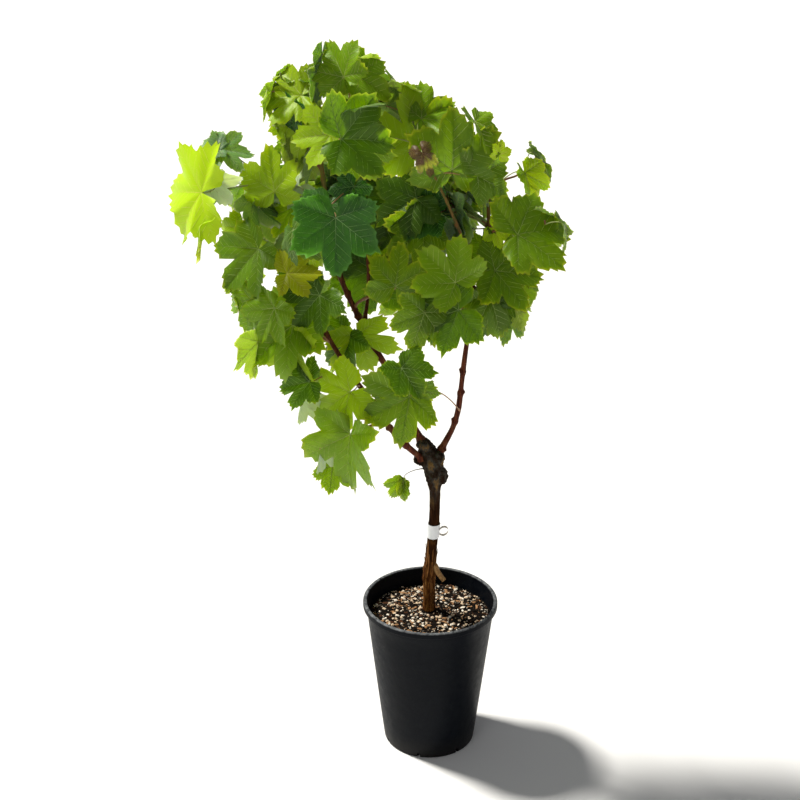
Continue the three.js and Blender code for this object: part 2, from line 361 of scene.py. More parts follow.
# %% Pot sizes and shape
pot_low, pot_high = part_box("pot")
RIM_RADIUS = (pot_high.x - pot_low.x) / 2
POT_HEIGHT = pot_high.z
FOOT_RADIUS = 75.5 * MM
NECK_RADIUS = 104.5 * MM
WALL = 2.2 * MM
FLOOR = 3 * MM
RIM_HEIGHT = 10 * MM
POT_SIDES = 160
LIP_HEIGHT = POT_HEIGHT - RIM_HEIGHT
OUT_OF_ROUND = 0.0016
DRAIN_SLOTS = 7
FIRST_SLOT = -65.7 - 90  # degrees round the foot
SLOT_X = (-7 * MM, 7 * MM)
SLOT_Y = (-2.6 * MM, 2.6 * MM)
SLOT_Z = (-6 * MM, 5 * MM)
print("pot:", round(POT_HEIGHT, 3), "high, rim radius", round(RIM_RADIUS, 3))


def outside_at(height):
    return FOOT_RADIUS + (NECK_RADIUS - FOOT_RADIUS) * height / LIP_HEIGHT


def arc(centre, radius, start, end, steps):
    """Points of a profile's arc, its angles in degrees from outwards towards up."""
    angles = np.radians(np.linspace(start, end, steps))
    return [(centre[0] + radius * math.cos(a), centre[1] + radius * math.sin(a)) for a in angles]


def pot_profile():
    bevel = 3 * MM
    roll = 2.6 * MM
    inner = roll * 0.8
    points = [(0, 0), (0.4 * FOOT_RADIUS, 0), (FOOT_RADIUS - 2 * bevel, 0)]
    points += arc((FOOT_RADIUS - bevel, bevel), bevel, -90, -8, 6)
    points += [(outside_at(h), h) for h in np.linspace(0.03, LIP_HEIGHT - 0.012, 12)]
    # a small step out, a groove and the rolled lip
    points += [(outside_at(LIP_HEIGHT - 0.01) + 0.6 * MM, LIP_HEIGHT - 0.0095)]
    points += [(outside_at(LIP_HEIGHT) + 0.7 * MM, LIP_HEIGHT - 0.002)]
    points += [(outside_at(LIP_HEIGHT) + 0.9 * MM, LIP_HEIGHT - 0.0005)]
    points += arc((RIM_RADIUS - roll * 0.6, LIP_HEIGHT + roll * 0.6), roll * 0.6, -100, 0, 6)
    points += arc((RIM_RADIUS - roll, POT_HEIGHT - roll), roll, 0, 90, 7)
    inside_top = outside_at(POT_HEIGHT) - WALL
    points += arc((inside_top + inner, POT_HEIGHT - inner), inner, 90, 180, 6)
    points += [(outside_at(h) - WALL, h) for h in np.linspace(LIP_HEIGHT - 0.004, 0.012, 10)]
    points += [(outside_at(FLOOR) - WALL - 4 * MM, FLOOR), (0.4 * FOOT_RADIUS, FLOOR), (0, FLOOR)]
    return points


def turned(profile, sides, wobble):
    """Rings of points about Z, each pulled a little out of round."""
    rings = []
    for radius, height in profile:
        for k in range(sides):
            angle = 2 * math.pi * k / sides
            lean = math.sin(2 * angle + 9 * height) + 0.5 * math.sin(3 * angle - 14 * height)
            reach = radius * (1 + wobble * lean)
            rings.append((reach * math.cos(angle), reach * math.sin(angle), height))
    return rings


# %% Black plastic, dusty at the foot, with scuffs and a painted highlight along the rim
def black_plastic():
    finish = Finish("black_nursery_plastic", 0.46)
    finish.shine(0.08)
    mottle = finish.noise(0.05, 3)
    dust = finish.noise(0.012, 6, 0.7)
    film = finish.ramp(dust, [(0.42, (0.0012, 0.0022, 0.0045)), (0.74, (0.005, 0.0065, 0.009))])
    soiled = finish.grade(finish.height(), 0.04, 0.0, 0.0, 0.4)
    foot = finish.blend(soiled, film, (0.026, 0.023, 0.018))
    pale = finish.grade(mottle, 0.5, 0.8, 0, 0.4)
    wall = finish.blend(pale, foot, (0.003, 0.005, 0.009))
    # the rim's crest is painted grey: partly scuffs, partly a painted highlight where it catches the light
    crest = finish.grade(finish.height(), POT_HEIGHT - 2.2 * MM, POT_HEIGHT - 0.2 * MM, 0, 0.9)
    scuffs_and_painted_highlight = finish.ramp(finish.noise(0.006, 5, 0.7), [(0.35, (0.02, 0.022, 0.026)),
                                                        (0.62, (0.20, 0.21, 0.22))])
    finish.colour(finish.blend(crest, wall, scuffs_and_painted_highlight))
    finish.link(finish.grade(dust, 0.3, 0.75, 0.4, 0.6), finish.shader.inputs["Roughness"])
    finish.bump(finish.noise(0.0016, 3), 0.00012)
    finish.bump(finish.noise(0.03, 2), 0.0009)
    return finish.material


# %% Turn the pot and cut its drain slots
def drain_cutters():
    """One object with a box for each drain slot."""
    slots = Heap()
    middle = Vector((FOOT_RADIUS, 0, 3.5 * MM))
    box = [(0, 1, 3, 2), (4, 6, 7, 5), (0, 4, 5, 1), (2, 3, 7, 6), (0, 2, 6, 4), (1, 5, 7, 3)]
    for k in range(DRAIN_SLOTS):
        turn = Matrix.Rotation(math.radians(FIRST_SLOT + 360 / DRAIN_SLOTS * k), 4, "Z")
        corners = [turn @ (middle + Vector((x, y, z))) for x in SLOT_X for y in SLOT_Y for z in SLOT_Z]
        slots.add([tuple(corner) for corner in corners], box)
    mesh = bpy.data.meshes.new("drain_cutters")
    mesh.from_pydata(np.concatenate(slots.points).tolist(), [], slots.faces)
    cutter = bpy.data.objects.new("drain_cutters", mesh)
    bpy.context.scene.collection.objects.link(cutter)
    return cutter


def build_pot():
    profile = pot_profile()
    heap = Heap()
    walls = turned(profile, POT_SIDES, OUT_OF_ROUND)
    heap.add(walls, rings_to_faces(len(profile), POT_SIDES, False))
    pot = heap.piece("pot_body", [black_plastic()], "pot", ["pot"])
    cutter = drain_cutters()
    weld(pot)
    cut = pot.modifiers.new("drain_slots", "BOOLEAN")
    cut.operation = "DIFFERENCE"
    cut.object = cutter
    cut.solver = "EXACT"
    apply_modifiers(pot)
    bpy.data.objects.remove(cutter)
    smooth_by_angle(pot, 40)


build_pot()

# %% [markdown]
# ## The potting mix
#
# The soil is a dark bark mix with pale chips and gravel on top. One disc of fine rings is
# heaved up and down by noise for the soil itself. On it lie many separate chips and stones:
# each starts as a coarse ball, is squashed and has its corners knocked in and out by seeded
# numbers, and is dealt one of a few colours. Flat shading keeps their broken edges. Real
# stones catch the light and throw small shadows, which a flat pattern can't do.

# %% Soil and its chips
soil_low, soil_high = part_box("potting_mix")
SOIL_CREST = soil_high.z
SOIL_EDGE = 231 * MM
STONE_COUNT = 2300
STONE_COLOURS = {
    "cream_gravel": (0.62, 0.48, 0.33),
    "tan_chip": (0.33, 0.18, 0.085),
    "pale_grit": (0.80, 0.72, 0.60),
    "red_bark_chip": (0.06, 0.024, 0.010),
    "dark_bark_chip": (0.004, 0.0025, 0.0015),
    "grey_stone": (0.13, 0.115, 0.095),
}
STONE_SHARES = (18, 12, 13, 14, 36, 7)
FLAKES = (1, 3, 4)  # the kinds that are flat chips
BARE_ROUND_STEM = 12 * MM


def soil_level(x, y):
    """The soil's height: a low mound round the stem, with clods."""
    away = math.hypot(x, y) / (outside_at(SOIL_EDGE) - WALL)
    mound = SOIL_CREST - (SOIL_CREST - SOIL_EDGE) * away**1.6
    clods = noise.fractal(Vector((x, y, 0.3)) * 55, 0.9, 2.1, 4) * 2.0 * MM
    near_stem = min(1.0, max(0.0, (math.hypot(x + 0.002, y - 0.002) - 0.014) / 0.02))
    return mound + clods * (0.35 + 0.65 * near_stem)


# %% Finishes of the soil and the stones
def soil_finish():
    finish = Finish("dark_potting_mix", 0.95)
    finish.shine(0.1)
    crumbs = finish.cells(0.0026)
    damp = finish.noise(0.02, 5)
    speck = finish.ramp(crumbs, [(0.1, (0.0015, 0.001, 0.0007)), (0.6, (0.010, 0.006, 0.004))])
    finish.colour(finish.blend(finish.grade(damp, 0.4, 0.7), speck, (0.006, 0.004, 0.003)))
    finish.bump(finish.cells(0.0021), 0.0012)
    finish.bump(finish.noise(0.006, 6), 0.002)
    return finish.material


def stone_finish(name, colour):
    finish = Finish(name, 0.85)
    finish.shine(0.1)
    finish.colour(colour)
    finish.bump(finish.noise(0.0012, 5), 0.0004)
    return finish.material


# %% Lay the soil
def build_soil():
    rings, sides = 46, 132
    reach = outside_at(SOIL_EDGE) - WALL - 0.2 * MM
    points = []
    for ring in range(1, rings + 1):
        radius = reach * ring / rings
        for side in range(sides):
            angle = 2 * math.pi * side / sides
            x, y = radius * math.cos(angle), radius * math.sin(angle)
            points.append((x, y, soil_level(x, y)))
    foot = outside_at(FLOOR) - WALL - 5 * MM
    for side in range(sides):
        angle = 2 * math.pi * side / sides
        points.append((foot * math.cos(angle), foot * math.sin(angle), soil_low.z))
    faces = rings_to_faces(rings + 1, sides, False)
    faces.append(tuple(reversed(range(rings * sides, (rings + 1) * sides))))
    points.append((0, 0, soil_level(0, 0)))
    top = len(points) - 1
    faces += [(top, side, (side + 1) % sides) for side in range(sides)]
    faces = [tuple(reversed(face)) for face in faces]
    heap = Heap()
    heap.add(points, faces)
    soil = heap.piece("soil_surface", [soil_finish()], "potting_mix", ["potting_mix"])
    smooth_by_angle(soil, 60)


build_soil()


# %% Scatter the chips and stones
def ball(detail):
    """The points and faces of an icosphere of radius 1."""
    shape = bmesh.new()
    bmesh.ops.create_icosphere(shape, subdivisions=detail, radius=1)
    points = np.array([v.co for v in shape.verts])
    faces = [tuple(v.index for v in f.verts) for f in shape.faces]
    shape.free()
    return points, faces


def build_stones():
    rng = random.Random(11)
    points, faces = ball(1)
    heap = Heap()
    reach = outside_at(SOIL_EDGE) - WALL - 3 * MM
    kinds = list(range(len(STONE_COLOURS)))
    for _ in range(STONE_COUNT):
        kind = rng.choices(kinds, STONE_SHARES)[0]
        away = reach * math.sqrt(rng.random())
        if away < BARE_ROUND_STEM:
            continue
        angle = rng.random() * 2 * math.pi
        x, y = away * math.cos(angle), away * math.sin(angle)
        size = MM * (0.8 + 2.6 * rng.random() ** 2.4)
        flake = kind in FLAKES
        flat = rng.uniform(0.25, 0.5) if flake else rng.uniform(0.45, 0.8)
        long = rng.uniform(1.2, 2.6) if flake else rng.uniform(1.0, 1.5)
        knocked = [Vector(p) * rng.uniform(0.68, 1.22) for p in points]
        turn = Matrix.Rotation(rng.random() * math.pi * 2, 3, "Z")
        turn = turn @ Matrix.Rotation(rng.gauss(0, 0.4), 3, "X")
        squash = Matrix.Diagonal((size * long, size, size * flat))
        middle = Vector((x, y, soil_level(x, y) + size * flat * 0.4))
        stone = [tuple(middle + turn @ (squash @ p)) for p in knocked]
        heap.add(stone, faces, kind)
    finishes = [stone_finish(name, colour) for name, colour in STONE_COLOURS.items()]
    gravel = heap.piece("soil_gravel", finishes, "potting_mix")
    gravel.data.polygons.foreach_set("use_smooth", [False] * len(gravel.data.polygons))


build_stones()

# %% [markdown]
# ## Wood: reading a limb's line from the CAD
#
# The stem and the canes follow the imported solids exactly. A limb's solid is cut by level
# planes, and the middle of each cut is a point on its line; the narrowest reach is its
# radius. The new mesh is then swept along that line with many more sides, which leaves room
# for bark ridges, the swollen joints of a cane and its buds.


# %% Reading and sweeping a limb
def limb_line(node, cuts):
    """Points on a packed limb's middle line, lowest first, and its radius at each."""
    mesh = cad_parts[node].data
    places = np.array([vertex.co for vertex in mesh.vertices])
    ends = np.array([edge.vertices for edge in mesh.edges])
    low, high = places[:, 2].min(), places[:, 2].max()
    margin = min(12 * MM, 0.2 * (high - low))
    line, radii = [], []
    for level in np.linspace(low + margin, high - 1 * MM, cuts):
        a, b = places[ends[:, 0]], places[ends[:, 1]]
        crossing = (a[:, 2] - level) * (b[:, 2] - level) < 0
        a, b = a[crossing], b[crossing]
        share = (level - a[:, 2]) / (b[:, 2] - a[:, 2])
        cut = a + (b - a) * share[:, None]
        middle = (cut.max(0) + cut.min(0)) / 2
        line.append(Vector(middle))
        radii.append(float(np.linalg.norm(cut - middle, axis=1).min()))
    return line, radii


def smooth_line(points, step):
    """A curve through the points (Catmull-Rom), sampled about every step metres."""
    padded = [points[0] * 2 - points[1], *points, points[-1] * 2 - points[-2]]
    line = []
    for k in range(1, len(padded) - 2):
        p0, p1, p2, p3 = padded[k - 1 : k + 3]
        pieces = max(1, round((p2 - p1).length / step))
        for j in range(pieces):
            t = j / pieces
            line.append(
                0.5
                * (
                    2 * p1
                    + (p2 - p0) * t
                    + (2 * p0 - 5 * p1 + 4 * p2 - p3) * t**2
                    + (3 * p1 - p0 - 3 * p2 + p3) * t**3
                )
            )
    line.append(points[-1].copy())
    return line


def travelled(line):
    """The length of the line up to each of its points."""
    lengths = [0.0]
    for a, b in zip(line, line[1:]):
        lengths.append(lengths[-1] + (b - a).length)
    return lengths


def frames_along(line):
    """A pair of crosswise directions at each point that never twists suddenly."""
    ahead = [(b - a).normalized() for a, b in zip(line, line[1:])]
    ahead.append(ahead[-1])
    across = ahead[0].orthogonal().normalized()
    pairs = []
    for direction in ahead:
        across = (across - direction * across.dot(direction)).normalized()
        pairs.append((across.copy(), direction.cross(across)))
    return pairs


def sweep(line, sides, reach):
    """Rings round a line; reach(length along it, angle) is the radius there."""
    points = []
    for place, length, (u, v) in zip(line, travelled(line), frames_along(line)):
        for side in range(sides):
            angle = 2 * math.pi * side / sides
            out = u * math.cos(angle) + v * math.sin(angle)
            points.append(place + out * reach(length, angle))
    return [tuple(p) for p in points], rings_to_faces(len(line), sides)


# %% [markdown]
# ## The grafted stem
#
# The stem's solid already has its flare, its knuckle and the lumpy head where the canes were
# pruned back to. A fine voxel remesh of a copy melts those lumps into one skin, and noise
# pushed along the normals raises the bark: long ridges up the stem, and coarse warty bark on
# the head. Sculpting would do the same by hand; the noise does it again for any shape.

# %% Bark on the stem
HEAD_START = 462 * MM
SKIN_GRAIN = 0.9 * MM  # the remesh's cube size


def old_bark():
    finish = Finish("old_stem_bark", 0.86)
    finish.shine(0.06)
    height = finish.height()
    streaks = finish.noise(0.004, 6, 0.68, finish.stretched((1, 1, 0.12)))
    patches = finish.noise(0.014, 4, 0.6, finish.stretched((1, 1, 0.5)))
    foot = finish.ramp(streaks, [(0.30, (0.018, 0.005, 0.002)), (0.48, (0.085, 0.024, 0.004)),
                                 (0.58, (0.24, 0.105, 0.022)), (0.72, (0.48, 0.26, 0.08))])
    middle = finish.ramp(streaks, [(0.32, (0.006, 0.0022, 0.001)), (0.55, (0.028, 0.009, 0.002)),
                                   (0.78, (0.075, 0.030, 0.008))])
    head = finish.ramp(patches, [(0.34, (0.004, 0.002, 0.001)), (0.47, (0.026, 0.015, 0.008)),
                                 (0.56, (0.045, 0.042, 0.036)), (0.68, (0.17, 0.095, 0.028))])
    ragged = finish.nodes.new("ShaderNodeMath")
    ragged.operation = "MULTIPLY_ADD"
    finish.link(patches, ragged.inputs[0])
    ragged.inputs[1].default_value = 0.12
    finish.link(height, ragged.inputs[2])
    lower = finish.blend(finish.grade(ragged.outputs[0], 0.33, 0.43), foot, middle)
    finish.colour(finish.blend(finish.grade(ragged.outputs[0], 0.50, 0.55), lower, head))
    finish.bump(streaks, 0.0012)
    finish.bump(finish.noise(0.0022, 5), 0.0007)
    return finish.material


# %% Raise the bark
def build_stem():
    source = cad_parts["trunk"]
    stem = bpy.data.objects.new("stem_bark", source.data.copy())
    bpy.context.scene.collection.objects.link(stem)
    stem.data.materials.clear()
    weld(stem, 1e-5)
    skin = stem.modifiers.new("skin", "REMESH")
    skin.mode = "VOXEL"
    skin.voxel_size = SKIN_GRAIN
    skin.adaptivity = 0
    ease = stem.modifiers.new("ease", "SMOOTH")
    ease.factor = 0.5
    ease.iterations = 22
    apply_modifiers(stem)
    mesh = stem.data
    normals = [vertex.normal.copy() for vertex in mesh.vertices]
    for vertex, normal in zip(mesh.vertices, normals):
        place = vertex.co
        on_head = min(1.0, max(0.0, (place.z - HEAD_START) / 0.02))
        ridges = noise.fractal(Vector((place.x * 260, place.y * 260, place.z * 26)), 0.8, 2, 4)
        warts = noise.fractal(place * 120, 0.75, 2.1, 5)
        plates = noise.noise(Vector((place.x * 90, place.y * 90, place.z * 22 + 7)))
        rise = (0.6 + 0.3 * plates) * ridges * (1 - on_head) + (2.2 * warts + 0.7 * ridges) * on_head
        vertex.co = place + normal * rise * MM
        vertex.co.z = max(vertex.co.z, SOIL_CREST - 0.5 * MM)
    mesh.materials.append(old_bark())
    smooth_by_angle(stem, 180)
    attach(stem, "root")
    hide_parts("trunk")
    print("stem_bark:", len(mesh.polygons), "faces")


build_stem()

# %% [markdown]
# ## Peeling strips and the pruned stub
#
# Vine bark lifts off in long papery strips, most of all low down. Each strip is a narrow
# ribbon laid along the stem and curled away at one end. The stub is what is left of the
# rootstock's own shoot: a swept peg with a clean, sloping cut.


# %% Finishes of the strips and the stub
stem_line, stem_radii = limb_line("trunk", 40)
STRIP_COUNT = 30
STRIP_STEPS = 9
print("stem radius low and high", round(stem_radii[0], 4), round(stem_radii[-1], 4))


def strip_finish():
    finish = Finish("papery_bark_strip", 0.8)
    finish.shine(0.1)
    grain = finish.noise(0.003, 5, 0.6, finish.stretched((1, 1, 0.15)))
    finish.colour(finish.ramp(grain, [(0.35, (0.07, 0.022, 0.005)), (0.65, (0.30, 0.13, 0.035))]))
    finish.bump(grain, 0.0005)
    return finish.material


def stub_finish():
    finish = Finish("pruned_stub_wood", 0.75)
    grain = finish.noise(0.0025, 5, 0.6, finish.stretched((1, 1, 0.4)))
    finish.colour(finish.ramp(grain, [(0.3, (0.16, 0.07, 0.015)), (0.7, (0.46, 0.26, 0.09))]))
    finish.bump(grain, 0.0006)
    return finish.material


# %% Lay the strips and sweep the stub
def build_strips():
    rng = random.Random(5)
    heap = Heap()
    heights = [place.z for place in stem_line]
    for _ in range(STRIP_COUNT):
        foot = rng.uniform(SOIL_CREST + 0.004, 0.325)
        length = rng.uniform(0.018, 0.05)
        angle = rng.uniform(0, 2 * math.pi)
        width = rng.uniform(1.4, 3.2) * MM
        lift = rng.uniform(0.8, 2.6) * MM
        left, right, back_left, back_right = [], [], [], []
        for k in range(STRIP_STEPS):
            share = k / (STRIP_STEPS - 1)
            z = foot + length * share
            x = np.interp(z, heights, [p.x for p in stem_line])
            y = np.interp(z, heights, [p.y for p in stem_line])
            reach = np.interp(z, heights, stem_radii) + 0.6 * MM + lift * (2 * share - 1) ** 4
            taper = width * (1 - 0.6 * abs(2 * share - 1) ** 3) / reach / 2
            for row, turn, depth in (
                (left, -taper, 0), (right, taper, 0), (back_right, taper, -0.4 * MM),
                (back_left, -taper, -0.4 * MM),
            ):
                a = angle + turn + 0.08 * math.sin(4 * share)
                row.append((x + (reach + depth) * math.cos(a), y + (reach + depth) * math.sin(a), z))
        points = [p for ring in zip(left, right, back_right, back_left) for p in ring]
        heap.add(points, rings_to_faces(STRIP_STEPS, 4))
    heap.piece("bark_strips", [strip_finish()], "bark")


def build_stub():
    _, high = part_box("pruned_stub")
    line, _ = limb_line("pruned_stub", 4)
    inner = Vector((3 * MM, line[-1].y + 0.004, high.z + 0.004))  # inside the stem
    points = smooth_line([inner, *reversed(line)], 0.0012)

    def reach(length, angle):
        ribs = 0.06 * math.sin(5 * angle + 40 * length) + 0.04 * math.sin(11 * angle)
        return (4.7 * MM - length * 0.02) * (1 + ribs)

    heap = Heap()
    heap.add(*sweep(points, 22, reach))
    stub = heap.piece("stub_wood", [stub_finish()], "cut_wood", ["pruned_stub"])
    smooth_by_angle(stub, 50)


build_strips()
build_stub()

# %% [markdown]
# ## The stem's label
#
# A strip of white plastic film is wrapped once round the stem, and its tail stands out as a
# small clear loop. The band is swept round the stem's own line, a little proud of the bark,
# with one edge lapped over the other. The loop is a thin ribbon bent into a ring.


# %% Label band and loop
def film_finish(name, colour, roughness):
    finish = Finish(name, roughness)
    creases = finish.noise(0.006, 3, 0.5, finish.stretched((1, 1, 0.3)))
    finish.colour(finish.ramp(creases, [(0.3, tuple(0.88 * c for c in colour)), (0.6, colour)]))
    finish.bump(creases, 0.0006)
    return finish.material


def ribbon_ring(middle_at, radius_at, low, high, thickness, sides, turns):
    """A closed band round a line between two heights, lapped over itself past one turn."""
    rows = 10
    points, faces = [], []
    count = sides + 1
    for skin in (0, 1):
        for row in range(rows):
            z = low + (high - low) * row / (rows - 1)
            middle = middle_at(z)
            for side in range(count):
                angle = 2 * math.pi * turns * side / sides + 2.2
                lap = 0.5 * MM * side / sides
                swell = 0.25 * MM * math.sin(3 * angle + 300 * z)
                reach = radius_at(z) + lap + swell + thickness * skin
                points.append((middle[0] + reach * math.cos(angle),
                               middle[1] + reach * math.sin(angle), z))
    skin_size = rows * count
    for row in range(rows - 1):
        for side in range(count - 1):
            a = row * count + side
            b = a + count
            faces.append((a, b, b + 1, a + 1))
            faces.append(tuple(skin_size + c for c in (a, a + 1, b + 1, b)))
    for side in range(count - 1):
        top = (rows - 1) * count + side
        faces.append((side, side + 1, skin_size + side + 1, skin_size + side))
        faces.append((top, skin_size + top, skin_size + top + 1, top + 1))
    for row in range(rows - 1):
        a, b = row * count, (row + 1) * count
        faces.append((a, skin_size + a, skin_size + b, b))
        a, b = a + count - 1, b + count - 1
        faces.append((a, b, skin_size + b, skin_size + a))
    return points, faces


# %% Wrap the band and bend the loop
def build_label():
    low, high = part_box("stem_label")
    heights = [place.z for place in stem_line]

    def middle_at(z):
        return (np.interp(z, heights, [p.x for p in stem_line]),
                np.interp(z, heights, [p.y for p in stem_line]))

    def radius_at(z):
        return float(np.interp(z, heights, stem_radii)) + 0.9 * MM

    heap = Heap()
    heap.add(*ribbon_ring(middle_at, radius_at, low.z, high.z, 0.4 * MM, 64, 1.08))
    band = heap.piece("label_band", [film_finish("white_film", (0.86, 0.88, 0.9), 0.4)],
                      "label", ["stem_label"])
    smooth_by_angle(band, 50)
    loop = Heap()
    centre = Vector((high.x - 8.5 * MM, (low.y + high.y) / 2, (low.z + high.z) / 2 - 1.5 * MM))
    points, sides, steps = [], 4, 34
    for k in range(steps):
        angle = math.pi * 1.06 + math.pi * 1.9 * k / (steps - 1)
        swell = 7.2 * MM * (1 + 0.10 * math.sin(2 * angle))
        for deep, wide in ((0, -3.2), (0, 3.2), (0.45, 3.2), (0.45, -3.2)):
            reach = swell + deep * MM
            points.append((centre.x + reach * math.cos(angle), centre.y + wide * MM,
                           centre.z + reach * math.sin(angle)))
    loop.add(points, rings_to_faces(steps, sides))
    tail = loop.piece("label_loop", [film_finish("clear_film_tail", (0.78, 0.72, 0.64), 0.3)],
                      "label")
    smooth_by_angle(tail, 50)


build_label()

# %% [markdown]
# ## The canes
#
# A cane of last summer's wood is smooth, red-brown and finely ribbed, with a swollen joint
# every four to six centimetres. At each joint sits a bud, on alternate sides. The sweep's
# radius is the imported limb's, plus a narrow bell at each joint and a small bell to one side
# for the bud. Each cane's foot is carried on into the head of the stem, so no gap shows.

# %% Cane shape and finish
CANES = ["cane_left", "cane_centre", "cane_right", "shoot_front", "shoot_back",
         "shoot_back_right"]
JOINT_GAP = 44 * MM
CANE_SIDES = 20


def cane_bark():
    finish = Finish("red_cane_bark", 0.55)
    finish.shine(0.08)
    height = finish.height()
    streaks = finish.noise(0.0028, 5, 0.6, finish.stretched((1, 1, 0.1)))
    patches = finish.noise(0.03, 3)
    red = finish.ramp(streaks, [(0.3, (0.022, 0.004, 0.002)), (0.52, (0.085, 0.018, 0.008)),
                                (0.75, (0.21, 0.065, 0.022))])
    tan = finish.ramp(streaks, [(0.3, (0.07, 0.03, 0.012)), (0.7, (0.24, 0.12, 0.045))])
    weathered = finish.grade(patches, 0.52, 0.72, 0, 0.75)
    bark = finish.blend(weathered, red, tan)
    green = finish.blend(finish.grade(streaks, 0.4, 0.7), (0.11, 0.13, 0.02), (0.22, 0.12, 0.035))
    finish.colour(finish.blend(finish.grade(height, 0.84, 1.0, 0, 0.85), bark, green))
    finish.bump(streaks, 0.0005)
    finish.bump(finish.noise(0.0018, 4), 0.0002)
    return finish.material


def cane_reach(lengths, radii, seed):
    """The radius of a cane along and round it: taper, joints, buds and fine ribs."""
    rng = random.Random(seed)
    total = lengths[-1]
    joints = []
    place = rng.uniform(0.3, 0.6) * JOINT_GAP
    side = rng.uniform(0, 2 * math.pi)
    while place < total:
        joints.append((place, side))
        place += JOINT_GAP * rng.uniform(0.8, 1.25)
        side += math.pi + rng.uniform(-0.4, 0.4)

    def reach(length, angle):
        base = float(np.interp(length, lengths, radii))
        swell = 0.0
        for place, side in joints:
            offset = (length - place) / (4.2 * MM)
            if abs(offset) < 4:
                swell += 0.26 * math.exp(-offset * offset)
                bud = (length - place - 3 * MM) / (2.6 * MM)
                turn = math.remainder(angle - side, 2 * math.pi) / 0.55
                swell += 0.55 * math.exp(-bud * bud - turn * turn)
        ribs = 0.022 * math.sin(9 * angle + 20 * length) + 0.012 * math.sin(17 * angle)
        bow = 0.05 * math.sin(90 * length + seed)
        return base * (0.93 + swell + ribs + bow)

    return reach


# %% Grow the canes
FOOT_DEPTH = 17 * MM  # how far a cane is carried on into the head
wood_places = []  # (point, direction of growth, radius) along everything woody


def note_wood(line, radii, every):
    """Remembers points along a limb, for shoots to grow on from."""
    for k in range(0, len(line) - 1, every):
        ahead = (line[k + 1] - line[k]).normalized()
        wood_places.append((line[k], ahead, radii[k]))


def build_canes():
    finish = cane_bark()
    for seed, node in enumerate(CANES):
        points, radii = limb_line(node, 16)
        buried = min(points[0].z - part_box(node)[0].z, 12 * MM) + FOOT_DEPTH
        start = points[0] - (points[1] - points[0]).normalized() * buried
        line = smooth_line([start, *points], 1.6 * MM)
        lengths = travelled(line)
        marks = np.linspace(0, lengths[-1], len(radii) + 1)
        spread = [float(np.interp(s, marks, [radii[0] * 1.12, *radii])) for s in lengths]
        spread = [r * (1 + 0.3 * math.exp(-((s / (24 * MM)) ** 2))) for r, s in zip(spread, lengths)]
        reach = cane_reach(lengths, spread, seed + 3)
        heap = Heap()
        heap.add(*sweep(line, CANE_SIDES, reach))
        heap.piece(node + "_bark", [finish], "cane", [node])
        note_wood(line[len(line) // 3 :], spread[len(line) // 3 :], 8)


build_canes()
print("places for shoots:", len(wood_places))

# %% [markdown]
# ## One vine leaf
#
# A vine leaf has five broad lobes, one at the end of each main vein, narrow clefts between
# them and a coarse saw edge. Its stalk joins in a notch at the back. In polar terms about
# that joint, the edge is a reach that a short table of stops gives, less a narrow dip at each
# cleft; every other point of the edge is then pulled out to a tooth.
#
# The blade is a fan of rings out to that edge. It is folded along the middle vein, pillowed
# between veins, curled down at the rim and waved, each by its own term, so no two leaves lie
# alike. A real blade is paler below, so there are two skins a third of a millimetre apart
# that meet at the edge, and the veins are thin ribs that stand out on both.

# %% Leaf edge and blade
LEAF_VEINS = np.radians([0, 52, 108])
LOBES = [(0, 0.93), (27, 0.84), (52, 0.89), (80, 0.76), (108, 0.78), (135, 0.62), (164, 0.40)]
LEAF_EDGE = math.radians(164)
TEETH = 40
LEAF_RINGS = [0.05, 0.16, 0.30, 0.44, 0.58, 0.71, 0.83, 0.93, 1.0]
BLADE_THICKNESS = 0.35 * MM
MAIN_VEIN_WIDTHS = (0.75 * MM, 0.68 * MM, 0.58 * MM)
SIDE_VEIN_PAIRS = 5
print("leaf edge:", 2 * TEETH + 1, "points and", len(LEAF_RINGS), "rings")


